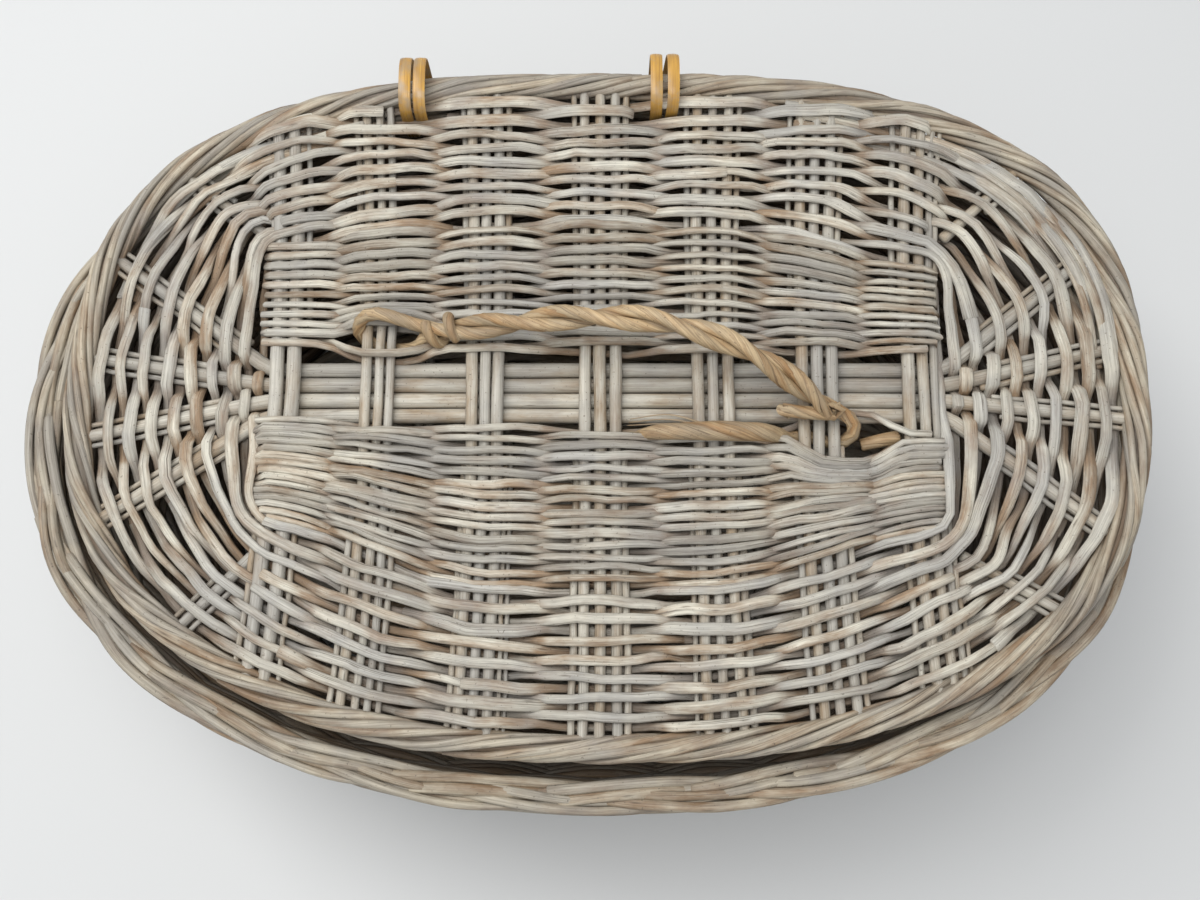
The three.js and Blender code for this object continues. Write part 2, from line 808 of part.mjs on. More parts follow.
// A loop takes in the rim under it and the lid's border, shut and wide open
const leanBackShare = -Math.cos(THREE.MathUtils.degToRad(lidOpenDegrees));
function loopEdges(x) {
  const rimY = borderMiddle(rimOval, rimBorderWidth, x);
  const lidY = borderMiddle(lidOval, lidBorderWidth, x);
  const openY = hingeY + leanBackShare * (hingeY - lidY);
  const front = Math.min(rimY - rimBorderWidth / 2, lidY - lidBorderRadius);
  const back = Math.max(rimY + rimBorderWidth / 2, openY + lidBorderRadius);
  return [front - loopEase, back + loopEase];
}
function loopMiddle(x) {
  const [front, back] = loopEdges(x);
  return (front + back) / 2;
}
const loopHalfWidth = Math.max(
  ...[leftLoopX, rightLoopX].map((x) => {
    const [front, back] = loopEdges(x);
    return (back - front) / 2;
  }),
);
const loopBottomZ = rimBottom + loopHalfWidth - loopDrop;

// The loop's outline at a turn: rounded at its top and bottom, straight between them
function loopPoint(y, turn, outward) {
  const angle = turn * 2 * Math.PI - Math.PI / 2;
  const c = Math.sign(Math.cos(angle)) * Math.abs(Math.cos(angle)) ** (2 / loopPower);
  const s = Math.sign(Math.sin(angle)) * Math.abs(Math.sin(angle)) ** (2 / loopPower);
  const centre = s > 0 ? hingeZ : loopBottomZ;
  const height = s > 0 ? loopCrown : loopHalfWidth;
  return [y + (loopHalfWidth + outward) * c, centre + (height + outward) * s];
}

// One strip wound round, stepping sideways under the rim where it doesn't show. Its two ends stop
// short there, on either side of the step.
const stepShare = 0.16;
const endShare = 0.14;
function trackAt(turn) {
  const whole = Math.round(turn);
  const beside = THREE.MathUtils.clamp((turn - whole) / stepShare + 0.5, 0, 1);
  return THREE.MathUtils.clamp(whole - 1 + beside, 0, caneTurns - 1);
}
function hingeLoop(x) {
  const y = loopMiddle(x);
  const slope =
    (loopMiddle(x + caneWidth) - loopMiddle(x - caneWidth)) / (2 * caneWidth);
  const pitch = caneWidth + caneGap;
  const count = loopTurnSteps * caneTurns;
  const rings = [];
  for (let k = 0; k <= count; k += 1) {
    const turn = endShare + (k / count) * (caneTurns - 2 * endShare);
    const offset = (trackAt(turn) - (caneTurns - 1) / 2) * pitch - caneWidth / 2;
    const edges = [offset, offset + caneWidth];
    const [near, far] = edges.map((dx) => [
      [x + dx, ...loopPoint(y + slope * dx, turn, 0)],
      [x + dx, ...loopPoint(y + slope * dx, turn, caneThickness)],
    ]);
    rings.push([near[0], near[1], far[1], far[0]]);
  }
  return skin(rings, false);
}

// Clearings for a loop: under the rim, and in the lid beside its border
function loopClearing(x, low, high) {
  const half = ((caneWidth + caneGap) * caneTurns) / 2 + loopSlotMargin;
  return solidOf(box([x - half, 0, low], [x + half, rimHalfWidth + overrun * 2, high]));
}

const lidSlotY = Math.min(loopMiddle(leftLoopX), loopMiddle(rightLoopX));
const lidSlotLow = lidSlotY - loopHalfWidth - caneThickness - loopSlotMargin;
[
  ["left", leftLoopX],
  ["right", rightLoopX],
].forEach(([place, x]) => {
  addPiece(`hinge_loop_${place}`, hingeLoop(x), cane);
  const underRim = loopBottomZ - loopHalfWidth - caneThickness - clearance * 2;
  topWale = topWale.subtract(loopClearing(x, underRim, rimTop));
  const half = ((caneWidth + caneGap) * caneTurns) / 2 + loopSlotMargin;
  const slot = box(
    [x - half, lidSlotLow, lidBottom - overrun],
    [x + half, rimHalfWidth + overrun, crossStickZ + overrun],
  );
  roundWeave = roundWeave.subtract(solidOf(slot));
});

addPiece("top_wale", geometryOf(topWale), willow);
addPiece("lid_weave_back", geometryOf(backCore), willow);
addPiece("lid_weave_front", geometryOf(frontCore), willow);
addPiece("lid_weave_round", geometryOf(roundWeave), willow);

// The loops stand out at the back, so the whole basket moves forward by half of that
const loopOverhang = new THREE.Box3().setFromObject(basket).max.y - rimHalfWidth;
basket.position.y = -loopOverhang / 2;

export default basket;
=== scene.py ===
"""The looks of a lidded oval willow basket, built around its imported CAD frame.

Each weaver, stake and border rod is a real rod: a straight blank is modelled once for each length,
copied, and laid along its own path over and under the sticks. Paths are written in millimetres in the
CAD source's frame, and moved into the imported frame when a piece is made.
"""
import math

import bmesh
import bpy
import numpy as np
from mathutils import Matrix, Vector


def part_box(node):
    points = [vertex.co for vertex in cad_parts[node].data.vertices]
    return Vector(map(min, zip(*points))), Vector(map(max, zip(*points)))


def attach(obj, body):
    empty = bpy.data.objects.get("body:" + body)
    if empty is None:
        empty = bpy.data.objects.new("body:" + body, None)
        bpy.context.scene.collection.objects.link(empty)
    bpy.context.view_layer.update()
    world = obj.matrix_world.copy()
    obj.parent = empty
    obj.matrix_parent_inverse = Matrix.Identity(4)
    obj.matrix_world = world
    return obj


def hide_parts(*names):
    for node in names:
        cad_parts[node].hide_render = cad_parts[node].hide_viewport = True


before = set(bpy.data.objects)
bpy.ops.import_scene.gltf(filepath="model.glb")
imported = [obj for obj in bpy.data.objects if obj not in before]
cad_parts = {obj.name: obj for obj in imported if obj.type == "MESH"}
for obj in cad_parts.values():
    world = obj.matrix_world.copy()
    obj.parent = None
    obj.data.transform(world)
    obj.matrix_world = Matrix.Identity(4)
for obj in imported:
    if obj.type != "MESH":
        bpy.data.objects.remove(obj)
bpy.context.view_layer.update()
rng = np.random.default_rng(41)
MM = 0.001
UPWARDS = (0.0, 0.0, 1.0)

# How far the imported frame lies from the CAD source's, in metres
rim_low, rim_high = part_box("rim_border")
FORWARD = np.array([0.0, (rim_low.y + rim_high.y) / 2, 0.0])

# Sizes, in mm, as in the CAD source
RIM = dict(x=0, y=0, half_length=240, half_width=162, front_left=2.1, front_right=2.4, back=2.3)
RIM_TOP, RIM_WIDTH, RIM_HEIGHT = 165, 16, 15
SIDE_LEAN, SIDE_TOP_INSET, FOOT_HEIGHT, FOOT_WIDTH = 34, 5, 14, 15
STAKES, STAKE_PHASE = 28, 0.11
LID = dict(x=10, y=9.5, half_length=229.5, half_width=150.5,
           front_left=2.3, front_right=2.35, back=2.8)
LID_MIDDLE, LID_BORDER_RADIUS = 171.8, 6.5
SPINE_Y, SPINE_PITCH, SPINE_Z, SPINE_RADIUS = 12.5, 6.7, 169.1, 3.2
SPINE_LEFT, SPINE_RIGHT = -133.5, 153.5
GROUP_SHARES = (-0.5773, -0.4009, -0.207, 0.0, 0.207, 0.3965, 0.5773)
GROUPS = len(GROUP_SHARES)
GROUP_X, GROUP_FAN = LID["x"] - 2.5, 0.07
GROUP_Z, GROUP_SETTLE, GROUP_SETTLE_RUN, BARE_HALF = 175.1, 2.8, 22, 15
ROD = 2.6
LEFT_SPOKES, RIGHT_SPOKES = (36, 9, -12, -33), (38, 12, -6, -38)
LEFT_CORNERS, RIGHT_CORNERS = (36, -46), (42, -30)
CORNER_X, CORNER_Y = 147, 69.98
SPOKE_Z_START, SPOKE_Z_END = SPINE_Z, 170.4
LOOP_LEFT = LID["x"] - LID["half_length"] * 0.3725
LOOP_RIGHT = LID["x"] + LID["half_length"] * 0.109

# How long the weavers are, at least and at most, before the next one takes over
CORE_LENGTHS, ROUND_LENGTHS, BORDER_LENGTHS = (420, 900), (380, 760), (300, 620)
SIDE_LENGTHS, WALE_LENGTHS, PLAIT_LENGTHS = (420, 820), (380, 640), (150, 330)
BOTTOM_LENGTHS = (380, 760)


# Lines
def line_of(x, y, z):
    """A line from its three coordinates, each an array or one number for the whole line."""
    return np.stack(np.broadcast_arrays(x, y, z), -1).astype(float)


def run_of(line):
    """The length run along a line at each of its points."""
    steps = np.linalg.norm(np.diff(line, axis=0), axis=1)
    return np.concatenate([[0.0], np.cumsum(steps)])


def read_at(at, run, values):
    """What a line's points carry, read at other lengths along it."""
    return np.stack([np.interp(at, run, column) for column in values.T], -1)


def even(line, step):
    """The same line with its points at even steps."""
    run = run_of(line)
    count = max(2, int(round(run[-1] / step)) + 1)
    return read_at(np.linspace(0, run[-1], count), run, line)


def unit(ways):
    """The same directions, each one unit long."""
    return ways / (np.linalg.norm(ways, axis=1)[:, None] + 1e-12)


def ahead_of(line):
    """The way that a line runs at each of its points."""
    return unit(np.gradient(line, axis=0))


def outward_of(line):
    """The level way out of a line that runs round the basket, at each of its points."""
    ahead = np.gradient(line[:, :2], axis=0)
    return unit(np.stack([ahead[:, 1], -ahead[:, 0]], -1))


def from_middle(line):
    """The level way from the basket's middle to each point of a line."""
    return np.column_stack([unit(line[:, :2]), np.zeros(len(line))])


def smoothed(line, rounds, closed=False):
    """The same line with its bends eased. An open line keeps its ends."""
    for _ in range(rounds):
        around = np.vstack([line[-2], line, line[1]]) if closed else line
        eased = (around[:-2] + 2 * around[1:-1] + around[2:]) / 4
        line = eased if closed else np.vstack([line[:1], eased, line[-1:]])
    return line


def begun_anywhere(line):
    """A closed line, begun at any one of its points."""
    start = int(rng.integers(0, len(line)))
    return np.concatenate([line[start:-1], line[:start + 1]])


def between(t, low, high, a, b):
    """From a to b, as t goes from low to high."""
    return (high - t) / (high - low) * a + (t - low) / (high - low) * b


def smooth_curve(points, per_span=8):
    """A smooth line through the points, which keeps to them closely where they lie close."""
    p = np.asarray(points, float)
    p = np.vstack([2 * p[0] - p[1], p, 2 * p[-1] - p[-2]])
    made = []
    for i in range(1, len(p) - 2):
        knots = [0.0]
        for a, b in ((i - 1, i), (i, i + 1), (i + 1, i + 2)):
            knots.append(knots[-1] + max(np.linalg.norm(p[b] - p[a]) ** 0.5, 1e-4))
        k0, k1, k2, k3 = knots
        t = np.linspace(k1, k2, per_span, endpoint=False)[:, None]
        before = between(t, k0, k1, p[i - 1], p[i])
        here = between(t, k1, k2, p[i], p[i + 1])
        after = between(t, k2, k3, p[i + 1], p[i + 2])
        made.append(between(t, k1, k2, between(t, k0, k2, before, here),
                            between(t, k1, k3, here, after)))
    return np.vstack(made + [p[-2][None]])


def ease(share):
    """A share from 0 to 1 that starts and ends gently."""
    share = np.clip(share, 0, 1)
    return share * share * (3 - 2 * share)


def wander(run, amount, wavelength):
    """A slow random drift along a line."""
    drift = np.zeros_like(run)
    for k in range(3):
        length = wavelength * rng.uniform(0.6, 1.6) / (1 + 0.7 * k)
        drift += np.sin(2 * math.pi * (run / length + rng.random())) / (1.5 + k)
    return amount * drift


# Ovals
def oval_point(oval, inset, angle):
    """A point of an oval, moved in towards the middle by the inset."""
    c, s = np.cos(angle), np.sin(angle)
    front = np.where(c < 0, oval["front_left"], oval["front_right"])
    power = np.where(s < 0, front, oval["back"])
    x = (oval["half_length"] - inset) * np.sign(c) * np.abs(c) ** (2 / power)
    y = (oval["half_width"] - inset) * np.sign(s) * np.abs(s) ** (2 / power)
    return np.stack([oval["x"] + x, oval["y"] + y], -1)


def oval_line(oval, inset, step=1.5):
    """A closed line round an oval, from its right end, anticlockwise."""
    angle = np.linspace(0, 2 * math.pi, 2881)
    return even(oval_point(oval, inset, angle), step)


def inside_oval(point, oval, inset):
    """Whether a point lies inside an oval by at least the inset."""
    x, y = point[0] - oval["x"], point[1] - oval["y"]
    front = oval["front_left"] if x < 0 else oval["front_right"]
    power = front if y < 0 else oval["back"]
    return (abs(x) / (oval["half_length"] - inset)) ** power + (
        abs(y) / (oval["half_width"] - inset)) ** power < 1


# Rods
blanks = {}


def rod_blank(rings, sides):
    """A straight rod of unit radius and length, cut across into rings, with eased ends."""
    if (rings, sides) in blanks:
        return blanks[rings, sides]
    bpy.ops.object.select_all(action="DESELECT")
    bpy.ops.mesh.primitive_cylinder_add(vertices=sides, radius=1, depth=1, end_fill_type="NGON")
    rod = bpy.context.object
    bpy.ops.object.mode_set(mode="EDIT")
    bpy.ops.mesh.select_mode(type="EDGE")
    bpy.ops.mesh.select_all(action="DESELECT")
    shape = bmesh.from_edit_mesh(rod.data)
    for edge in shape.edges:
        edge.select_set(abs(edge.verts[0].co.z - edge.verts[1].co.z) > 0.5)
    bmesh.update_edit_mesh(rod.data)
    bpy.ops.mesh.subdivide(number_cuts=rings - 1)
    bpy.ops.mesh.select_mode(type="FACE")
    shape = bmesh.from_edit_mesh(rod.data)
    for face in shape.faces:
        face.select_set(abs(face.normal.z) > 0.9)
    bmesh.update_edit_mesh(rod.data)
    bpy.ops.mesh.inset(thickness=0.35)
    bpy.ops.object.mode_set(mode="OBJECT")
    data = rod.data
    points = np.zeros(len(data.vertices) * 3)
    data.vertices.foreach_get("co", points)
    faces = [tuple(face.vertices) for face in data.polygons]
    bpy.data.objects.remove(rod)
    bpy.data.meshes.remove(data)
    blanks[rings, sides] = points.reshape(-1, 3), faces
    return blanks[rings, sides]


def carried_sides(path):
    """Sideways directions carried along a line without twisting, level at its start."""
    ahead = ahead_of(path)
    side = np.cross(UPWARDS, ahead[0])
    if np.linalg.norm(side) < 1e-6:
        side = np.array([1.0, 0, 0])
    made = []
    for direction in ahead:
        side = side - direction * side.dot(direction)
        side = side / np.linalg.norm(side)
        made.append(side)
    return np.array(made)


class Bundle:
    """Rods that make up one piece."""

    def __init__(self):
        self.points, self.faces, self.grain, self.tone, self.deep = [], [], [], [], []
        self.count = 0

    def lay(self, path, width, thick, facing=None, step=4.0, sides=8, deep=0.0, tone=None,
            taper=(1.0, 1.0), lumps=0.05, squared=1.0):
        """One rod along a path in mm. The facing is the way that its flat side looks. The lower
        its squared value, the squarer it is across."""
        path = np.asarray(path, float)
        run = run_of(path)
        length = run[-1]
        rings = max(2, int(round(length / step / 4)) * 4)
        blank, faces = rod_blank(rings, sides)
        share = blank[:, 2] + 0.5
        at = share * length

        def along(values):
            return np.interp(at, run, np.broadcast_to(values, run.shape))

        ahead = ahead_of(path)
        if facing is None:
            side = carried_sides(path)
        else:
            side = unit(np.cross(np.broadcast_to(facing, path.shape), ahead))
        place, forward, across = (read_at(at, run, line) for line in (path, ahead, side))
        forward = unit(forward)
        across = unit(across - forward * (across * forward).sum(1)[:, None])
        above = np.cross(forward, across)

        size = np.interp(run / length, [0, 1], taper) * (1 + wander(run, lumps, 60))
        half_width, half_thick = (along(v) / 2 * along(size) for v in (width, thick))
        reach = np.hypot(blank[:, 0], blank[:, 1])
        end = np.sign(share - 0.5) * np.clip(1 - reach, 0, 1) * half_thick
        flat = (np.abs(blank[:, :2]) / np.maximum(reach, 1e-6)[:, None]) ** squared
        flat = np.sign(blank[:, :2]) * flat * reach[:, None]
        sideways, upwards = flat[:, 0] * half_width, flat[:, 1] * half_thick
        self.points.append(place + across * sideways[:, None] + above * upwards[:, None]
                           + forward * end[:, None])
        self.faces += [tuple(v + self.count for v in face) for face in faces]
        start = rng.uniform(0, 8000)
        self.grain.append(np.stack([at + start, sideways, upwards], -1))
        self.tone.append(np.full(len(blank), rng.random() if tone is None else tone))
        # How deep the rod lies, and deeper at its cut ends: the willow finishes warm it browner there
        # and darken it as painted shade
        self.deep.append(along(deep) + 0.25 * np.clip(1 - reach, 0, 1))
        self.count += len(blank)

    def piece(self, name, finish, body, slot, *nodes):
        """Makes the rods one object that rides on its body and stands for CAD nodes."""
        places = (np.vstack(self.points) * MM + FORWARD).tolist()
        data = bpy.data.meshes.new(name)
        data.from_pydata(places, [], self.faces)
        for label, kind, values in (
            ("grain", "FLOAT_VECTOR", np.vstack(self.grain) * MM),
            ("tone", "FLOAT", np.concatenate(self.tone)),
            ("deep", "FLOAT", np.concatenate(self.deep)),
        ):
            kept = data.attributes.new(label, kind, "POINT")
            kept.data.foreach_set("vector" if kind == "FLOAT_VECTOR" else "value",
                                  values.astype(np.float32).ravel())
        data.materials.append(finish)
        data.update()
        made = bpy.data.objects.new(name, data)
        bpy.context.scene.collection.objects.link(made)
        bpy.ops.object.select_all(action="DESELECT")
        made.select_set(True)
        bpy.context.view_layer.objects.active = made
        bpy.ops.object.shade_smooth_by_angle(angle=math.radians(60))
        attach(made, body)
        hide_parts(*nodes)


# Finishes
class Finish:
    """A material's nodes, joined as they are added."""

    def __init__(self, name, roughness):
        self.material = bpy.data.materials.new(name)
        self.material.use_nodes = True
        self.nodes, self.links = self.material.node_tree.nodes, self.material.node_tree.links
        self.shader = self.nodes["Principled BSDF"]
        self.shader.inputs["Roughness"].default_value = roughness

    def fill(self, socket, value):
        """Joins a socket to another one, or sets its value."""
        if isinstance(value, bpy.types.NodeSocket):
            self.links.new(value, socket)
        else:
            socket.default_value = value

    def add(self, kind, inputs=None, **settings):
        """A new node with its settings and inputs."""
        node = self.nodes.new(kind)
        for key, value in settings.items():
            setattr(node, key, value)
        for key, value in (inputs or {}).items():
            self.fill(node.inputs[key], value)
        return node

    def carried(self, name, output="Fac"):
        """What the points of the rods carry under a name."""
        return self.add("ShaderNodeAttribute", attribute_name=name).outputs[output]

    def math(self, operation, a, b=0.0):
        """A sum of one or two values."""
        return self.add("ShaderNodeMath", {0: a, 1: b}, operation=operation).outputs[0]

    def times(self, a, b):
        return self.math("MULTIPLY", a, b)

    def plus(self, a, b):
        return self.math("ADD", a, b)

    def mix(self, factor, a, b):
        """From colour a to colour b by the factor."""
        node = self.add("ShaderNodeMix", {0: factor, 6: a, 7: b}, data_type="RGBA")
        return node.outputs[2]

    def over(self, colour, laid, where, amount):
        """A colour with another laid over it, by that amount at most."""
        return self.mix(self.times(where, amount), colour, laid)

    def noise(self, vector, scale, detail, roughness):
        """Cloudy noise, mostly between 0.3 and 0.7."""
        return self.add("ShaderNodeTexNoise", {"Vector": vector, "Scale": scale, "Detail": detail,
                                               "Roughness": roughness}).outputs["Fac"]

    def stretched(self, grain, lengthwise, across):
        """Grain coordinates, scaled along the rods and across them."""
        return self.add("ShaderNodeMapping", {"Vector": grain,
                                              "Scale": (lengthwise, across, across)}).outputs[0]

    def grained(self, grain, lengthwise, across, detail, roughness):
        """Noise that is stretched along the rods."""
        return self.noise(self.stretched(grain, lengthwise, across), 1.0, detail, roughness)

    def range(self, value, low, high, to_low=0.0, to_high=1.0):
        """A value moved from one range to another and kept inside it."""
        return self.add("ShaderNodeMapRange", {0: value, 1: low, 2: high, 3: to_low,
                                               4: to_high}).outputs[0]

    def finished(self, colour, roughness, height, bump, distance):
        """The material, once its colour, roughness and bumps are joined to the shader."""
        bumps = self.add("ShaderNodeBump", {"Strength": bump, "Distance": distance,
                                            "Height": height})
        for name, value in (("Base Color", colour), ("Roughness", roughness),
                            ("Normal", bumps.outputs[0])):
            self.fill(self.shader.inputs[name], value)
        return self.material


def rgb(red, green, blue):
    """A colour as the eye reads it, in shares of 255, made linear."""
    made = [(v / 255) / 12.92 if v <= 10 else ((v / 255 + 0.055) / 1.055) ** 2.4
            for v in (red, green, blue)]
    return (*made, 1.0)


def willow(name, pale, tan, grey, dark, roughness=0.56, streaks=1.0, bump=0.45, painted_shade=0.5):
    """Weathered willow: a pale rod with brown dips and grey patches, fine grain, scars and specks, with
    painted shade down its lower flanks and in the depths.
    """
    f = Finish(name, roughness)
    pale, tan, grey, dark = (rgb(*colour) for colour in (pale, tan, grey, dark))
    grain, tone, deep = f.carried("grain", "Vector"), f.carried("tone"), f.carried("deep")
    place = f.add("ShaderNodeTexCoord").outputs["Object"]
    patches = f.grained(grain, 32, 120, 4.0, 0.65)
    fibres = f.grained(grain, 30, 1500, 4.0, 0.7)
    threads = f.grained(grain, 60, 3800, 3.0, 0.7)

    # Brown where it dips, grey where it has weathered most, and each rod with its own tone
    dips = f.times(f.range(deep, 0.08, 0.5), 0.2)
    warm = f.plus(f.plus(f.times(patches, 1.5), dips), f.times(tone, 0.24))
    colour = f.mix(f.range(warm, 0.76, 1.14), pale, tan)
    blotches = f.noise(place, 30.0, 4.0, 0.6)
    weathered = f.math("SUBTRACT", blotches, f.times(tone, 0.3))
    colour = f.over(colour, grey, f.range(weathered, 0.24, 0.56), 0.7)
    colour = f.over(colour, dark, f.math("FRACT", f.times(tone, 7.31)), 0.26)

    # Grain, cracks, specks and scars
    colour = f.over(colour, dark, f.range(fibres, 0.34, 0.62, 1.0, 0.0), 0.42 * streaks)
    colour = f.over(colour, pale, f.range(threads, 0.55, 0.72), 0.34 * streaks)
    cracks = f.range(f.grained(grain, 16, 2300, 2.0, 0.5), 0.655, 0.70)
    colour = f.over(colour, dark, cracks, 0.6)
    specks = f.noise(place, 900.0, 2.0, 0.5)
    colour = f.over(colour, dark, f.range(specks, 0.67, 0.73), 0.6)
    scars = f.add("ShaderNodeTexVoronoi", {"Vector": f.stretched(grain, 42, 260), "Scale": 1.0,
                                           "Randomness": 1.0}).outputs["Distance"]
    scar = f.range(scars, 0.04, 0.13, 1.0, 0.0)
    colour = f.over(colour, dark, scar, 0.55)

    # Painted shade: darker down each rod's lower flank and where it lies deep under other rods
    lift = f.add("ShaderNodeSeparateXYZ", {0: grain}).outputs[2]
    flank = f.range(lift, -0.0003, 0.0011, 1.0, 0.0)
    colour = f.over(colour, dark, flank, 0.55 * painted_shade + 0.1)
    colour = f.over(colour, dark, f.range(deep, 0.15, 1.0), painted_shade)

    sheen = f.range(fibres, 0.3, 0.7, roughness + 0.16, roughness - 0.06)
    height = f.plus(f.times(fibres, 0.7), f.times(threads, 0.3))
    height = f.math("SUBTRACT", height, f.times(f.math("MAXIMUM", scar, cracks), 0.4))
    return f.finished(colour, sheen, height, bump, 0.0007)


LID_WILLOW = willow("lid_weaver_willow", (224, 218, 200), (158, 131, 102), (160, 159, 157),
                    (76, 64, 52), streaks=1.2, bump=0.8, painted_shade=0.27)
STICK_WILLOW = willow("lid_stick_willow", (199, 193, 178), (158, 138, 112), (150, 148, 144),
                      (80, 69, 57), streaks=0.9, painted_shade=0.4)
BORDER_WILLOW = willow("border_willow", (195, 184, 162), (140, 114, 86), (144, 140, 134),
                       (60, 49, 38), streaks=1.1)
SIDE_WILLOW = willow("side_willow", (200, 191, 171), (148, 124, 96), (144, 140, 134), (62, 51, 40))
BASE_WILLOW = willow("base_willow", (194, 184, 164), (150, 128, 100), (144, 140, 133),
                     (66, 55, 44), streaks=0.9)
HANDLE_WILLOW = willow("handle_willow", (206, 181, 141), (163, 124, 78), (152, 138, 116),
                       (72, 52, 34), roughness=0.5, streaks=1.3, bump=0.6)


def split_cane():
    """Glossy ochre cane: long fine lines, a few brown nodes and a pale worn edge."""
    f = Finish("split_cane", 0.3)
    grain = f.carried("grain", "Vector")
    lines = f.grained(grain, 30, 2600, 4.0, 0.6)
    nodes = f.grained(grain, 38, 90, 3.0, 0.55)
    scuffs = f.noise(f.add("ShaderNodeTexCoord").outputs["Object"], 70.0, 4.0, 0.65)
    colour = f.mix(f.range(nodes, 0.35, 0.68), rgb(194, 148, 66), rgb(148, 112, 60))
    colour = f.over(colour, rgb(112, 70, 26), f.range(lines, 0.5, 0.66), 0.45)
    colour = f.over(colour, rgb(222, 182, 98), f.range(lines, 0.42, 0.32), 0.4)
    colour = f.over(colour, rgb(142, 130, 112), f.range(scuffs, 0.5, 0.62), 0.6)
    return f.finished(colour, f.range(lines, 0.35, 0.65, 0.22, 0.4), lines, 0.2, 0.0003)


CANE = split_cane()


# The lid's sticks
def group_x(i, y):
    """The x of the middle of a cross group at a y. The groups fan out towards the border."""
    fan = 1 + GROUP_FAN * (np.abs(y - SPINE_Y) / LID["half_width"]) ** 2
    return GROUP_X + GROUP_SHARES[i] * LID["half_length"] * fan


def group_z(y):
    """The height of the cross groups, which lie over the long sticks and settle beside them."""
    return GROUP_Z - GROUP_SETTLE * ease((np.abs(y - SPINE_Y) - BARE_HALF) / GROUP_SETTLE_RUN)


def outward(x, y, degrees, direction):
    """Where a spoke from x, y meets the middle of the lid's border."""
    angle = math.radians(degrees)
    line = np.array([direction * math.cos(angle), math.sin(angle)])
    border = oval_line(LID, LID_BORDER_RADIUS - 0.5)
    offset = border - [x, y]
    off_line = np.abs(offset[:, 0] * line[1] - offset[:, 1] * line[0])
    off_line[(offset @ line) < 0] = 1e9
    return border[np.argmin(off_line)]


def spoke_list():
    """Each spoke as its side, its long stick or corner, its start and its end at the border."""
    spokes = []
    for k in range(4):
        y = SPINE_Y + (1.5 - k) * SPINE_PITCH
        spokes.append(("right", k, (SPINE_RIGHT, y), outward(SPINE_RIGHT, y, RIGHT_SPOKES[k], 1)))
        spokes.append(("left", k, (SPINE_LEFT, y), outward(SPINE_LEFT, y, LEFT_SPOKES[k], -1)))
    for name, direction, angles in (("left", -1, LEFT_CORNERS), ("right", 1, RIGHT_CORNERS)):
        for place, degrees in zip(("back", "front"), angles):
            start = (LID["x"] + direction * CORNER_X, SPINE_Y + math.copysign(CORNER_Y, degrees))
            spokes.append((name, place, start, outward(*start, degrees, direction)))
    return spokes


SPOKES = spoke_list()

# The rods of each cross group: their places beside its middle and their radii, then the thin rods
# that join the group on its front and back halves, by their place at the border
GROUP_RODS = (
    (((-4.6, 3.1), (2.4, 3.1)), ((-10.2, 1.5), (8.0, 1.3)), ((8.6, 1.4), (-9.2, 1.2))),
    (((-7.2, 2.3), (-1.8, 2.0), (2.8, 1.9)), ((-12.6, 1.5), (-9.6, 1.1), (7.4, 1.4)),
     ((-12.4, 1.6), (-9.2, 1.2))),
    (((-6.9, 2.6), (-1.5, 2.4), (4.0, 2.6)), ((-11.4, 1.6), (8.6, 1.1), (11.2, 1.0)),
     ((-11.6, 1.5), (9.0, 1.5))),
    (((-6.8, 2.5), (-0.5, 2.7), (6.0, 2.6)), ((-12.2, 1.8), (11.0, 1.8)), ((-12.4, 1.5), (11.4, 1.7))),
    (((-6.6, 2.6), (-0.4, 2.4), (6.0, 2.5)), ((11.4, 1.8), (-11.6, 1.2)), ((-12.0, 1.5), (11.6, 1.4))),
    (((-6.0, 2.6), (0.2, 2.5), (6.4, 2.6)), ((11.6, 1.6), (-11.2, 1.5)), ((11.8, 1.5), (-11.8, 1.3))),
    (((-3.0, 2.8), (3.4, 2.4), (8.0, 1.7)), ((-9.2, 1.5), (12.0, 1.1)), ((-9.0, 1.5), (12.0, 1.3))),
)
# About where the groups meet the border, in front and at the back
GROUP_FRONT_Y, GROUP_BACK_Y = -110.0, 120.0


def border_y(x, back):
    """The y of the middle of the lid's border over an x."""
    line = oval_line(LID, LID_BORDER_RADIUS)
    half = line[line[:, 1] > LID["y"]] if back else line[line[:, 1] < LID["y"]]
    order = np.argsort(half[:, 0])
    return float(np.interp(x, half[order, 0], half[order, 1]))


def lay_group(i):
    """A cross group: its rods from border to border, and the thin rods that start beside the spine."""
    main, front, back = GROUP_RODS[i]
    group = Bundle()
    low = border_y(group_x(i, GROUP_FRONT_Y), False)
    high = border_y(group_x(i, GROUP_BACK_Y), True)
    y = np.linspace(low, high, 90)
    for offset, radius in main:
        spread = 1 + 0.10 * (np.abs(y - SPINE_Y) / 140) ** 2
        x = group_x(i, y) + offset * spread + wander(y + 200, 0.25, 90)
        z = group_z(y) + (ROD - radius) * -0.6 + wander(y + 200, 0.12, 70)
        width = 2 * radius * (1 - 0.16 * ease((np.abs(y - SPINE_Y) - 40) / 100))
        group.lay(line_of(x, y, z), width, width * 0.97, facing=UPWARDS, step=3.5, sides=12,
                  lumps=0.03)
    for offsets, edge, sign in ((front, low, -1), (back, high, 1)):
        for offset, radius in offsets:
            start = SPINE_Y + sign * rng.uniform(24, 42)
            y = np.linspace(start, edge, 50)
            share = (y - start) / (edge - start)
            x = group_x(i, y) + offset * (0.84 + 0.16 * share) + wander(y + 200, 0.3, 60)
            z = group_z(y) - 0.7 - 1.5 * (1 - share) ** 3 + wander(y + 200, 0.15, 50)
            group.lay(line_of(x, y, z), 2 * radius, 2 * radius, facing=UPWARDS, step=4,
                      taper=(1.05, 0.85))
    group.piece(f"lid_cross_rods_{i + 1}", STICK_WILLOW, "lid", "willow_stick",
                f"lid_cross_sticks_{i + 1}")


# The rods of the corner spokes and those beside every spoke, each as its width and thickness
CORNER_SPOKE, BESIDE_SPOKE = (5.0, 4.8), (2.6, 2.6)


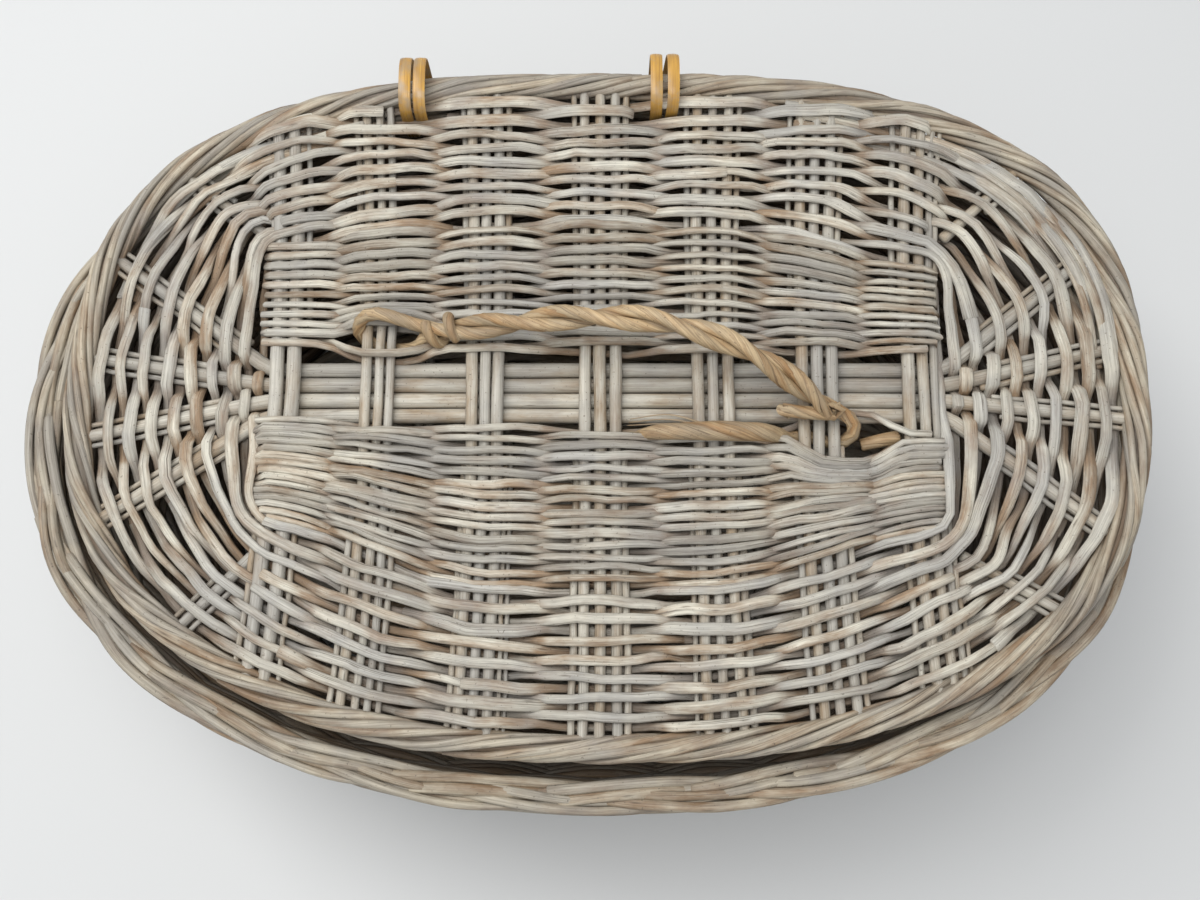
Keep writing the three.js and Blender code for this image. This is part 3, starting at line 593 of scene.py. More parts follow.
def spoke_line(start, end, sideways=0.0, skip=0.0):
    """A spoke's middle line, or one that runs beside it and skips its start."""
    a, b = np.array(start), np.array(end)
    ahead = (b - a) / np.linalg.norm(b - a)
    line = np.linspace(a + ahead * skip, b, 40) + np.array([-ahead[1], ahead[0]]) * sideways
    share = np.linalg.norm(line - a, axis=1) / np.linalg.norm(b - a)
    z = SPOKE_Z_START + (SPOKE_Z_END - SPOKE_Z_START) * ease(share)
    return np.column_stack([line, z])


def lay_side_rods(bundle, start, end, spread):
    """The thin rods that run beside a spoke."""
    for sideways in (-spread, spread):
        line = spoke_line(start, end, sideways, skip=rng.uniform(14, 26))
        line[:, 2] -= 0.4
        line[:, :2] += 0.6 * wander(run_of(line), 0.5, 50)[:, None]
        bundle.lay(line, *BESIDE_SPOKE, facing=UPWARDS, taper=(rng.uniform(0.8, 1.2), 0.8))


def lay_spine_stick(k):
    """A long stick with its two spokes, which thin towards the border."""
    stick = Bundle()
    ends = {side: end for side, which, _, end in SPOKES if which == k}
    y = SPINE_Y + (1.5 - k) * SPINE_PITCH
    left = spoke_line((SPINE_LEFT, y), ends["left"])[::-1]
    right = spoke_line((SPINE_RIGHT, y), ends["right"])
    middle = line_of(np.linspace(SPINE_LEFT, SPINE_RIGHT, 120)[1:-1], y, SPINE_Z)
    middle[:, 1] += wander(middle[:, 0] + 200, 0.12, 120)
    line = smoothed(even(np.vstack([left, middle, right]), 2.0), 5)
    beyond = np.maximum(SPINE_LEFT - line[:, 0], line[:, 0] - SPINE_RIGHT)
    width = 2 * SPINE_RADIUS * (1 - 0.22 * ease(beyond / 70))
    stick.lay(line, width, width * 0.97, facing=UPWARDS, step=3.0, sides=14, lumps=0.02,
              tone=0.25 + 0.15 * k)
    for side, start in (("left", (SPINE_LEFT, y)), ("right", (SPINE_RIGHT, y))):
        lay_side_rods(stick, start, ends[side], 4.4)
    stick.piece(f"lid_spine_rod_{k + 1}", STICK_WILLOW, "lid", "willow_stick",
                f"lid_long_stick_{k + 1}")


def lay_corner_spokes():
    """The four spokes that run out to the lid's corners."""
    for side, place, start, end in SPOKES:
        if isinstance(place, str):
            spoke = Bundle()
            spoke.lay(spoke_line(start, end), *CORNER_SPOKE, facing=UPWARDS, step=3.5, sides=12,
                      taper=(1.05, 0.85))
            lay_side_rods(spoke, start, end, 4.2)
            spoke.piece(f"lid_corner_rod_{side}_{place}", STICK_WILLOW, "lid", "willow_stick",
                        f"lid_spoke_{side}_{place}")


# The lid's weaving
WEAVER_WIDTH, ROUND_WIDTH, WEAVER_THICK, WEAVER_SQUARED = 3.55, 4.35, 2.35, 0.78
# How far under and over the middle of its sticks a weaver lies where it is deepest and highest
DEEPEST, HIGHEST = 3.4, 2.6
# The heights of the rows beside the border, of the rows' ends under it and of the corner rows
BESIDE_BORDER_Z, TUCKED_Z, CORNER_ROW_Z = 169.9, 169.8, 170.3
# Where the rows part round each hook, the room that they leave there, how far off they give way
# and over what run
HOOKS = ((-84.6, 33.5, 6.0, 18.0, 19.0), (109.0, -7.5, 10.2, 27.0, 19.0))


def make_room(x, y):
    """A row parts round each hook of the handle, on the side of the hook that it runs."""
    for hook_x, hook_y, room, reach, length in HOOKS:
        nearest = np.argmin(np.abs(x - hook_x))
        side = 1.0 if y[nearest] > hook_y else -1.0
        near = np.exp(-(((x - hook_x) / length) ** 4))
        off = (y - hook_y) * side
        pushed = room + np.maximum(off, 0) * (1 - room / reach)
        y = np.where(off < reach, y + near * np.maximum(pushed - off, 0) * side, y)
    return y


def woven(run, crossings, length=None):
    """Heights along a weaver that passes over and under what it crosses. A crossing is its run, its
    half width and the weaver's height there. A closed weaver is given its length."""
    crossings = [(at + rng.normal(0, 1.6), half * rng.uniform(0.7, 1.15), height + rng.normal(0, 0.15))
                 for at, half, height in sorted(crossings)]
    if length is not None:
        first, last = crossings[0], crossings[-1]
        crossings = [(last[0] - length, *last[1:])] + crossings + [(first[0] + length, *first[1:])]
    at, heights = [], []
    for j, (middle, half, height) in enumerate(crossings):
        room = [abs(middle - crossings[k][0]) for k in (j - 1, j + 1) if 0 <= k < len(crossings)]
        half = min([half] + [0.36 * r for r in room])
        at += [middle - half, middle + half]
        heights += [height, height]
    at, heights = np.array(at), np.array(heights)
    i = np.clip(np.searchsorted(at, run) - 1, 0, len(at) - 2)
    share = ease((run - at[i]) / np.maximum(at[i + 1] - at[i], 1e-6))
    return heights[i] + (heights[i + 1] - heights[i]) * share


def depth_of(z, low, high):
    """How deep a weaver lies, from 0 on top to 1 underneath."""
    return 1 - ease((z - low) / (high - low))


def flattened(depth, middle):
    """A weaver's width where it lies that deep: broad on top of the sticks, narrow where it dips."""
    return middle * (1.07 - 0.2 * ease(depth * 1.2))


# Where the short rows end, how far they bend out there as they turn back, and half the width that
# they pass at a group
CORE_LEFT, CORE_RIGHT = -130.0, 144.5
TURN_LEFT, TURN_RIGHT, GROUP_HALF = -7.6, 7.2, 9.5
# The short rows on each side of the spine: how many, and the first and last row's y in the middle
# and at both ends
FRONT_ROWS = dict(count=29, middle=(-5.0, -69.5), left=(-1.0, -40.5), right=(-7.5, -45.5))
BACK_ROWS = dict(count=22, middle=(29.8, 86.0), left=(32.5, 78.0), right=(29.0, 67.5))


def row_y(rows, share, x):
    """The y of a short row over an x. The share runs from the row next to the spine outwards."""
    middle, left, right = (a + (b - a) * share for a, b in
                           (rows["middle"], rows["left"], rows["right"]))
    return (middle + (left - middle) * ease((-38 - x) / 105) ** 0.9
            + (right - middle) * ease((x - 52) / 105) ** 0.9)


def core_rows(rows):
    """The short rows on one side of the spine, as one weaver that turns back round the outer groups."""
    lift = ROD + WEAVER_THICK / 2
    made = []
    for k in range(rows["count"]):
        x = np.arange(CORE_LEFT, CORE_RIGHT + 0.1, 1.5)
        y = row_y(rows, k / (rows["count"] - 1), x)
        inside = np.minimum(ease((x - CORE_LEFT) / 30), ease((CORE_RIGHT - x) / 30))
        drift = wander(x + 300, 0.55, 80) + wander(x + 300, 0.35, 38) + rng.normal(0, 0.25)
        y = make_room(x, y + drift * inside)
        crossings = []
        for i in range(GROUPS):
            at = float(group_x(i, np.interp(group_x(i, y[0]), x, y)))
            over = (i + k) % 2 == 0
            z = float(group_z(np.interp(at, x, y)))
            crossings.append((at, GROUP_HALF, z + (lift if over else -lift)))
        row = line_of(x, y, woven(x, crossings) + wander(x + 300, 0.2, 40))
        made.append(row[::-1] if k % 2 == 0 else row)
    serpentine = [made[0]]
    turn = np.linspace(0, math.pi, 12)[1:-1]
    swing = (1 - np.cos(turn)) / 2
    for k in range(1, rows["count"]):
        a, b = made[k - 1][-1], made[k][0]
        out = TURN_LEFT if k % 2 else TURN_RIGHT
        bend = a + (b - a) * swing[:, None]
        bend[:, 0] += out * np.sin(turn) ** 0.8
        serpentine += [bend, made[k]]
    return np.vstack(serpentine)


def cut_lengths(line, shortest, longest, hidden):
    """Cuts a long line into rods of random lengths, each end where the line lies hidden."""
    run = run_of(line)
    cuts, at = [0], 0.0
    while at < run[-1] - longest:
        wanted = at + rng.uniform(shortest, longest)
        near = np.flatnonzero((np.abs(run - wanted) < 60) & hidden)
        if len(near):
            index = int(near[np.argmin(np.abs(run[near] - wanted))])
        else:
            index = int(np.searchsorted(run, wanted))
        cuts.append(index)
        at = run[index]
    cuts.append(len(line) - 1)
    return [line[a: min(b + 6, len(line))] for a, b in zip(cuts, cuts[1:])]


def lay_core(side, rows):
    """The short rows on one side of the spine, packed close."""
    weaving = Bundle()
    line = core_rows(rows)
    hidden = line[:, 2] < group_z(line[:, 1]) - 2.5
    hidden &= (line[:, 0] > -112) & (line[:, 0] < 125)
    for rod in cut_lengths(line, *CORE_LENGTHS, hidden):
        size = rng.uniform(0.86, 1.12)
        middle = group_z(rod[:, 1])
        depth = depth_of(rod[:, 2], middle - DEEPEST, middle + HIGHEST)
        packed = 1 - 0.12 * ease((np.abs(rod[:, 0] - GROUP_X) - 95) / 30)
        width = flattened(depth, WEAVER_WIDTH) * size * packed * (1 + wander(run_of(rod), 0.06, 130))
        weaving.lay(rod, width, WEAVER_THICK * size ** 0.5, step=2.6, deep=depth,
                    taper=(1.06, 0.88), squared=WEAVER_SQUARED)
    weaving.piece(f"lid_weaving_{side}", LID_WILLOW, "lid", "willow_weave", f"lid_weave_{side}")


ROUND_ROWS = 15
ROUND_MIDDLE = np.array([8.0, SPINE_Y])
ROUND_INSET, BACK_FLAT = 14.0, 131.5
# How far the round rows clear a group's middle and a spoke's at its start, how much less at the border,
# and the share of it by which they dip
GROUP_CLEAR, SPOKE_CLEAR, SPOKE_CLEAR_LOST, DIP_SHARE = 2.4, 2.9, 0.5, 0.94


def inner_outline():
    """The line just outside the short rows, which the round rows start from."""
    x = np.linspace(CORE_LEFT - 6, CORE_RIGHT + 6, 60)
    front = np.column_stack([x, row_y(FRONT_ROWS, 1.0, x) - 3.2])
    back = np.column_stack([x, row_y(BACK_ROWS, 1.0, x) + 3.2])[::-1]
    right_x, left_x = CORE_RIGHT + 8.2, CORE_LEFT - 8.8
    right = np.array([(right_x, front[-1, 1] + 5), (right_x, SPINE_Y), (right_x, back[0, 1] - 5)])
    left = np.array([(left_x, back[-1, 1] - 5), (left_x, SPINE_Y), (left_x, front[0, 1] + 5)])
    return smoothed(even(np.vstack([right[1:], back, left, front, right[:2]]), 2.0), 24)


def outer_outline():
    """The line of the outermost round row, beside the border but flatter at the back."""
    line = oval_line(LID, ROUND_INSET, 2.0)
    line[:, 1] = np.minimum(line[:, 1], BACK_FLAT)
    return smoothed(line, 30, closed=True)


def reach_at(line, angles):
    """How far a closed line lies from the middle of the round rows in each direction."""
    off = line - ROUND_MIDDLE
    angle = np.unwrap(np.arctan2(off[:, 1], off[:, 0]))
    reach = np.linalg.norm(off, axis=1)
    order = np.argsort(angle % (2 * math.pi))
    return np.interp(angles, (angle % (2 * math.pi))[order], reach[order], period=2 * math.pi)


ROUND_ANGLES = np.linspace(0, 2 * math.pi, 1441)
INNER_REACH = reach_at(inner_outline(), ROUND_ANGLES)
OUTER_REACH = reach_at(outer_outline(), ROUND_ANGLES)


def room_of_row(line):
    """How far apart the round rows lie at each point of one of them."""
    off = line[:, :2] - ROUND_MIDDLE
    angle = np.arctan2(off[:, 1], off[:, 0])
    ahead = ahead_of(line[:, :2])
    aslant = np.abs(ahead[:, 0] * np.sin(angle) - ahead[:, 1] * np.cos(angle))
    room = np.interp(angle, ROUND_ANGLES, OUTER_REACH - INNER_REACH, period=2 * math.pi)
    return room / (ROUND_ROWS - 1) * aslant


def round_line(share):
    """A row that goes all round the lid, from the innermost to the outermost."""
    reach = INNER_REACH * (1 - share) + OUTER_REACH * share
    ways = np.stack([np.cos(ROUND_ANGLES), np.sin(ROUND_ANGLES)], -1)
    return even(ROUND_MIDDLE + reach[:, None] * ways, 1.5)


def crossing_runs(line, stick):
    """The runs at which a line crosses a stick's middle line."""
    found = []
    run = run_of(line)
    p, q = line[:-1], line[1:]
    for a, b in zip(stick[:-1], stick[1:]):
        r, s = q - p, b - a
        cross = r[:, 0] * s[1] - r[:, 1] * s[0]
        cross = np.where(np.abs(cross) < 1e-12, 1e-12, cross)
        t = ((a[0] - p[:, 0]) * s[1] - (a[1] - p[:, 1]) * s[0]) / cross
        u = ((a[0] - p[:, 0]) * r[:, 1] - (a[1] - p[:, 1]) * r[:, 0]) / cross
        for k in np.flatnonzero((t >= 0) & (t < 1) & (u >= 0) & (u < 1)):
            found.append(float(run[k] + t[k] * (run[k + 1] - run[k])))
    return found


def lid_sticks():
    """What the round rows cross, in order: its angle, its middle line, its half width and whether
    it is a cross group."""
    sticks = []
    for i in range(GROUPS):
        for end in (-145, 158):
            y = np.linspace(SPINE_Y, end, 14)
            angle = math.atan2(y[-1] - LID["y"], group_x(i, y[-1]) - LID["x"])
            sticks.append((angle, np.stack([group_x(i, y), y], -1), 12.5 if i else 10.0, True))
    for _, _, start, end in SPOKES:
        reach = np.array(end) + (np.array(end) - start) * 0.2
        angle = math.atan2(end[1] - LID["y"], end[0] - LID["x"])
        sticks.append((angle, np.array([start, reach]), 6.0, False))
    sticks.sort(key=lambda stick: stick[0] % (2 * math.pi))
    return sticks


def lay_flat_weaver(weaving, line, low, high, width, taper, squared):
    """A weaver of the round rows' kind, which lies deep at the low height and on top at the high."""
    depth = depth_of(line[:, 2], low, high)
    weaving.lay(line, flattened(depth, width), WEAVER_THICK, facing=UPWARDS, step=2.8, deep=depth,
                taper=taper, squared=squared)


# The loose rows between the round rows and the back border: the height that they keep to, how far
# they rise and dip at a group, and the heights between which their depth is told
LOOSE_Z, LOOSE_OVER, LOOSE_UNDER, LOOSE_DEPTHS = 172.3, 3.7, 3.3, (169.0, 174.8)
# Their y in the middle, their stretches along x and whether they pass over the first group
LOOSE_ROWS = ((135.6, ((-150, 156),), 0), (140.2, ((-146, -88), (-61, 22), (47, 150)), 1),
              (144.4, ((-136, 142),), 0))


def lay_loose_rows(weaving):
    """The rows along the back border, with both ends tucked under it."""
    for middle_y, stretches, first in LOOSE_ROWS:
        for left, right in stretches:
            x = np.arange(left, right, 1.5)
            beside_border = np.array([border_y(v, True) for v in x]) - 5.0
            y = np.minimum(middle_y, beside_border) + wander(x + 300, 0.45, 70)
            crossings = [(end, 4.0, TUCKED_Z) for end in (left - 8.0, right + 8.0)]
            for i in range(GROUPS):
                at = float(group_x(i, middle_y))
                if left < at < right:
                    over = (i + first) % 2 == 0
                    crossings.append((at, 10.0, LOOSE_Z + (LOOSE_OVER if over else -LOOSE_UNDER)))
            lay_flat_weaver(weaving, line_of(x, y, woven(x, crossings)), *LOOSE_DEPTHS,
                            ROUND_WIDTH * 1.4, (0.9, 0.8), 0.7)


# The short rows that fill the back corners beside the border, right and left: the angles between
# which they run, then each row's inset and how high it starts
CORNER_ROWS = (
    (74, 4, ((12.6, -2.9), (14.6, 3.3), (16.6, -3.2), (18.6, 3.0), (21.4, -3.0), (24.2, 3.1))),
    (113, 167, ((14.6, 3.3), (18.2, -3.1), (21.4, 3.2))),
)
# The heights between which their depth is told
CORNER_DEPTHS = (167.0, 173.4)


def lay_corner_rows(weaving):
    """The short rows in the back corners, over and under about once each."""
    for first, last, rows in CORNER_ROWS:
        for inset, lift in rows:
            angle = np.radians(np.linspace(first + rng.uniform(-4, 4), last + rng.uniform(-4, 4), 80))
            line = even(oval_point(LID, inset, angle), 1.5)
            run = run_of(line)
            turn = 2 * math.pi * (run / run[-1] - 0.42) * 1.15
            line = np.column_stack([line, CORNER_ROW_Z + lift * np.cos(turn)])
            lay_flat_weaver(weaving, line, *CORNER_DEPTHS, ROUND_WIDTH, (1.0, 0.8), WEAVER_SQUARED)


def with_elbows(line, sticks, pull):
    """A row is pulled nearly straight between the sticks and bends over each of them."""
    run = run_of(line)
    bends = []
    for _, stick, half, _ in sticks:
        for at in crossing_runs(line, stick):
            bends += [at - half * 0.5, at + half * 0.5]
    bends = np.sort(np.array(bends) % run[-1])
    straight = np.stack([np.interp(run, bends, np.interp(bends, run, line[:, k]), period=run[-1])
                         for k in range(2)], -1)
    return smoothed(line + (straight - line) * pull, 5, closed=True)


def lay_round():
    """The rows that go all round the lid, and the loose and short rows between them and the border."""
    weaving = Bundle()
    sticks = lid_sticks()
    for m in range(ROUND_ROWS):
        share = m / (ROUND_ROWS - 1)
        pull = 0.15 + 0.6 * ease(share / 0.4) - 0.65 * ease((share - 0.6) / 0.4)
        line = with_elbows(round_line(share), sticks, pull)
        run = run_of(line)
        crossings = []
        for order, (_, stick, half, group) in enumerate(sticks):
            for at in crossing_runs(line, stick):
                if group:
                    middle = float(group_z(float(np.interp(at, run, line[:, 1]))))
                    lift = GROUP_CLEAR + WEAVER_THICK / 2
                else:
                    middle = SPOKE_Z_START + (SPOKE_Z_END - SPOKE_Z_START) * share
                    lift = SPOKE_CLEAR - SPOKE_CLEAR_LOST * share + WEAVER_THICK / 2
                over = (order + m) % 2 == 0
                crossings.append((at, half, middle + (lift if over else -lift * DIP_SHARE)))
        line = np.column_stack([line, woven(run, crossings, run[-1])])
        drift = wander(run, 0.75, 110) + wander(run, 0.45, 42) + rng.normal(0, 0.3)
        line[:, :2] -= outward_of(line) * drift[:, None]
        ends = ease((np.abs(line[:, 0] - ROUND_MIDDLE[0]) - 120) / 40)
        middle = group_z(line[:, 1]) * (1 - ends) + BESIDE_BORDER_Z * ends
        line = begun_anywhere(np.column_stack([line, middle, ends]))
        for rod in cut_lengths(line, *ROUND_LENGTHS, line[:, 2] < line[:, 3] - 2.6):
            size = rng.uniform(0.88, 1.14)
            depth = depth_of(rod[:, 2], rod[:, 3] - DEEPEST, rod[:, 3] + HIGHEST)
            room = np.clip(room_of_row(rod) / 4.1, 0.96, 1.3)
            width = flattened(depth, ROUND_WIDTH) * size * room
            weaving.lay(rod[:, :3], width, WEAVER_THICK * size ** 0.5, facing=UPWARDS, step=2.8,
                        deep=depth, taper=(1.08, 0.86), squared=WEAVER_SQUARED)
    lay_loose_rows(weaving)
    lay_corner_rows(weaving)
    weaving.piece("lid_weaving_round", LID_WILLOW, "lid", "willow_weave", "lid_weave_round")


# The lid's border: its rods, the length in which they wind once round it, where its middle lies and
# how far the rods lie from there, sideways and upwards
BORDER_RODS, BORDER_LEAD, BORDER_INSET = 8, 150, 6.0
BORDER_REACH, BORDER_RISE = 4.45, 4.3
BORDER_ROD_WIDTH, BORDER_ROD_THICK, BORDER_CORE = 3.7, 3.1, 7.4


def lay_lid_border():
    """Rods wound together round a core like a rope."""
    border = Bundle()
    base = oval_line(LID, BORDER_INSET)
    run = run_of(base)
    outer = outward_of(base)
    around = run / run[-1]
    turns = round(run[-1] / BORDER_LEAD)
    blend = np.minimum(1, np.minimum(around, 1 - around) * 40)
    for j in range(BORDER_RODS):
        angle = 2 * math.pi * (turns * around + j / BORDER_RODS) + wander(run, 0.3, 170) * blend
        reach = 1 + (wander(run, 0.08, 80) + rng.uniform(-0.14, 0.04)) * blend
        place = base + outer * (BORDER_REACH * reach * np.cos(angle))[:, None]
        z = LID_MIDDLE + BORDER_RISE * reach * np.sin(angle)
        line = np.column_stack([place, z, outer * np.cos(angle)[:, None], np.sin(angle)])
        line = begun_anywhere(line)
        # Deeper on the border's underside, which the finish darkens as painted shade
        for rod in cut_lengths(line, *BORDER_LENGTHS, line[:, 5] < -0.3):
            width = BORDER_ROD_WIDTH * rng.uniform(0.84, 1.14)
            border.lay(rod[:, :3], width, BORDER_ROD_THICK, facing=rod[:, 3:6], step=4.5, sides=9,
                       taper=(1.08, 0.9), deep=0.25 * (1 - np.clip(rod[:, 5], -1, 1)))
    # The core counts as deepest, so its finish paints it in full shade
    border.lay(line_of(base[:, 0], base[:, 1], LID_MIDDLE), BORDER_CORE, BORDER_CORE,
               facing=UPWARDS, step=8, deep=1.0, lumps=0)
    border.piece("lid_rolled_border", BORDER_WILLOW, "lid", "willow_border", "lid_border")


# The body
def side_inset(z):
    """How far the side lies inside the rim's outline at a height."""
    bottom = RIM_TOP - RIM_HEIGHT
    return SIDE_TOP_INSET + SIDE_LEAN * (bottom - z) / (bottom - FOOT_HEIGHT)


def stake_angles():
    """The angles of the stakes, which stand at even steps along the rim."""
    angle = np.linspace(0, 2 * math.pi, 1441)
    run = run_of(oval_point(RIM, 0, angle))
    return np.interp((np.arange(STAKES) + STAKE_PHASE) / STAKES * run[-1], run, angle)


STAKE_ANGLES = stake_angles()
# How far inside the side's own inset the stakes stand, and their width and thickness
STAKE_MIDDLE, STAKE_ROD = 4.3, (4.4, 4.2)
# Once round the body from the first stake, and the count of stakes passed on the way
FULL_TURN = STAKE_ANGLES[0] + 2 * math.pi
BODY_ANGLES = np.linspace(STAKE_ANGLES[0], FULL_TURN, 1441)
PASSED = np.interp(BODY_ANGLES, np.append(STAKE_ANGLES, FULL_TURN), np.arange(STAKES + 1))


def round_body(inset, z):
    """A line round the body with that inset from the rim's outline and that height."""
    place = oval_point(RIM, inset, BODY_ANGLES)
    return line_of(place[:, 0], place[:, 1], z)


def lay_stakes():
    """The stakes, from the foot up into the rim."""
    stakes = Bundle()
    z = np.linspace(FOOT_HEIGHT - 2, RIM_TOP - RIM_HEIGHT + 4, 24)
    for angle in STAKE_ANGLES:
        place = oval_point(RIM, side_inset(z) + STAKE_MIDDLE, np.full(len(z), angle))
        inwards = np.array([-math.cos(angle), -math.sin(angle), 0.0])
        stakes.lay(np.column_stack([place, z]), *STAKE_ROD, facing=inwards, step=6, sides=10,
                   deep=0.35)
    stakes.piece("side_uprights", STICK_WILLOW, "basket", "willow_stick",
                 *[f"side_stake_{i + 1:02d}" for i in range(STAKES)])


# The side's rows: the lowest and the highest, how far apart they lie, how far they swing in and out
# of the stakes, and the rods' width and thickness
SIDE_LOW, SIDE_HIGH, SIDE_PITCH, SIDE_SWING = 15.6, 137.4, 3.15, 3.1
SIDE_ROD_WIDTH, SIDE_ROD_THICK = 5.9, 3.9


def lay_sides():
    """The side's rows, in front of one stake and behind the next."""
    weaving = Bundle()
    count = int((SIDE_HIGH - SIDE_LOW) / SIDE_PITCH) + 1
    for k in range(count):
        z = SIDE_LOW + (SIDE_HIGH - SIDE_LOW) * k / (count - 1)
        out = np.cos(math.pi * PASSED) * (1 if k % 2 else -1)
        line = round_body(side_inset(z) + STAKE_MIDDLE - SIDE_SWING * out, z)
        line[:, 2] += wander(run_of(line), 0.35, 160)
        line = begun_anywhere(np.column_stack([line, out]))
        # Deeper where a row passes behind a stake, which the finish darkens as painted shade
        for rod in cut_lengths(line, *SIDE_LENGTHS, line[:, 3] < -0.9):
            width = SIDE_ROD_WIDTH * rng.uniform(0.95, 1.06) * (0.92 + 0.18 * rod[:, 3] ** 2)
            weaving.lay(rod[:, :3], width, SIDE_ROD_THICK, facing=from_middle(rod), step=5.2,
                        deep=0.32 * (1 - rod[:, 3]) + 0.1, taper=(1.04, 0.97), squared=0.86)
    weaving.piece("side_weaving", SIDE_WILLOW, "basket", "willow_weave", "side_weave")


# The heights of the waling's rounds under the rim and at the foot, and how far to each side of a
# cane loop and from what height up the upper ones give way to it
TOP_WALE_Z, FOOT_WALE_Z = (141.2, 144.4, 147.4), (3.0, 6.1, 9.1, 12.0)
GIVE_WAY_HALF, GIVE_WAY_Z = 13, 141.5


def lay_waling(name, node, rounds, rod, swing, lift, under_loops=False):
    """Rounds of three rods that pass outside two stakes and inside the third. Each round is its
    height and its inset, and it can give way to the cane loops above it."""
    waling = Bundle()
    for z, inset in rounds:
        for j in range(3):
            turn = 2 * math.pi * (PASSED / 3 + j / 3)
            line = round_body(inset - swing * np.cos(turn), z + lift * np.sin(turn))
            line[:, 2] += wander(run_of(line), 0.25, 140)
            if under_loops:
                for x in (LOOP_LEFT, LOOP_RIGHT):
                    near = np.exp(-(((line[:, 0] - x) / GIVE_WAY_HALF) ** 4)) * (line[:, 1] > 0)
                    line[:, 2] -= near * np.clip(line[:, 2] - GIVE_WAY_Z, 0, 9) * 0.5
            line = begun_anywhere(np.column_stack([line, np.cos(turn)]))
            # Deeper where a rod passes inside a stake, which the finish darkens as painted shade
            for length in cut_lengths(line, *WALE_LENGTHS, line[:, 3] < -0.6):
                waling.lay(length[:, :3], rod * rng.uniform(0.92, 1.08), rod * 0.86,
                           facing=from_middle(length), step=5, sides=9,
                           deep=0.3 * (1 - length[:, 3]), taper=(1.08, 0.9))
    waling.piece(name, SIDE_WILLOW, "basket", "willow_weave", node)


# The plait: how far under the rim's top its middle lies, the length in which it winds round once, how
# far its pairs swing sideways and up, half the step between a pair's rods, and those rods' size
PLAIT_DEPTH, PLAIT_LEAD, PLAIT_SWING, PLAIT_LIFT, PLAIT_ASIDE = 3.7, 185, 3.5, 1.55, 2.15
PLAIT_WIDTH, PLAIT_THICK = 4.35, 3.8


def lay_plait(rim):
    """The rods' ends on top of the rim, plaited in three pairs."""
    base = oval_line(RIM, RIM_WIDTH / 2)
    run = run_of(base)
    outer = outward_of(base)
    turns = round(run[-1] / PLAIT_LEAD)
    blend = np.minimum(1, np.minimum(run, run[-1] - run) / 30)
    for j in range(3):
        angle = 2 * math.pi * (turns * run / run[-1] + j / 3) + wander(run, 0.22, 240) * blend
        for beside in (-1, 1):
            swing = PLAIT_SWING + wander(run, 0.25, 120) * blend
            aside = beside * (PLAIT_ASIDE + wander(run, 0.2, 90) * blend)
            place = base + outer * (swing * np.sin(angle) + aside)[:, None]
            lift = PLAIT_LIFT * np.sin(2 * angle)
            line = np.column_stack([place, RIM_TOP - PLAIT_DEPTH + lift, lift, np.sin(angle)])
            line = begun_anywhere(line)
            covered = (line[:, 3] < 0.4) & (line[:, 4] < 0.1)
            # Deeper where a pair's rod lies low, which the finish darkens as painted shade
            for rod in cut_lengths(line, *PLAIT_LENGTHS, covered):
                width = PLAIT_WIDTH * rng.uniform(0.84, 1.12)
                rim.lay(rod[:, :3], width, PLAIT_THICK, facing=UPWARDS, sides=10, squared=0.9,
                        taper=(1.1, 0.82), deep=0.14 * (1 - rod[:, 3] / PLAIT_LIFT))


# The rim's roll: how long each stake's rod runs in it, from which angle and how far that takes it
# round the roll, and how far it lies from the roll's middle, sideways and upwards
ROLL_LENGTH, ROLL_START, ROLL_TURN = 500.0, math.radians(132), math.radians(350)
ROLL_REACH, ROLL_RISE = 5.5, 4.1
RIM_ROD_WIDTH, RIM_ROD_THICK, RIM_CORE = 4.3, 3.9, (8.6, 7.8)


def lay_rim():
    """The rolled rim: each stake's rod is laid down along the rim, round it and under the next."""
    rim = Bundle()
    once = oval_line(RIM, RIM_WIDTH / 2)
    base = np.vstack([once[:-1], once])
    run = run_of(base)
    whole = run[-1] / 2
    outer = outward_of(base)
    middle = RIM_TOP - RIM_HEIGHT / 2
    for j in range(STAKES):
        start = whole * (1 - (j + rng.uniform(-0.16, 0.16)) / STAKES) + whole * 0.5
        at = np.arange(0, ROLL_LENGTH * rng.uniform(0.94, 1.04), 2.0)
        where = (start - at) % whole
        share = at / ROLL_LENGTH
        angle = ROLL_START - ROLL_TURN * share + wander(at, 0.19, 130)
        radius = np.interp(share, [0, 0.03, 0.6, 1], [0.86, 1.02, 1.0, 0.88]) * (
            1 + wander(at, 0.07, 70) + rng.uniform(-0.16, 0.05))
        way = unit(read_at(where, run, outer))
        place = read_at(where, run, base) + way * (ROLL_REACH * radius * np.cos(angle))[:, None]
        line = np.column_stack([place, middle - 1.5 + ROLL_RISE * radius * np.sin(angle)])
        facing = np.column_stack([way * np.cos(angle)[:, None], np.sin(angle)])
        # Deeper where the rod faces down and into the roll, which the finish darkens as painted shade
        deep = 0.22 * (1 - np.clip(np.sin(angle) + 0.6 * np.cos(angle), -1, 1))
        rim.lay(line, RIM_ROD_WIDTH * rng.uniform(0.8, 1.2), RIM_ROD_THICK, facing=facing,
                step=4.2, sides=10, taper=(1.06, 0.72), deep=deep)
    # The core counts as deepest, so its finish paints it in full shade
    rim.lay(line_of(once[:, 0], once[:, 1], middle), *RIM_CORE, facing=UPWARDS, step=8, deep=1.0,
            lumps=0)
    lay_plait(rim)
    rim.piece("rim_rolled_border", BORDER_WILLOW, "basket", "willow_border", "rim_border")


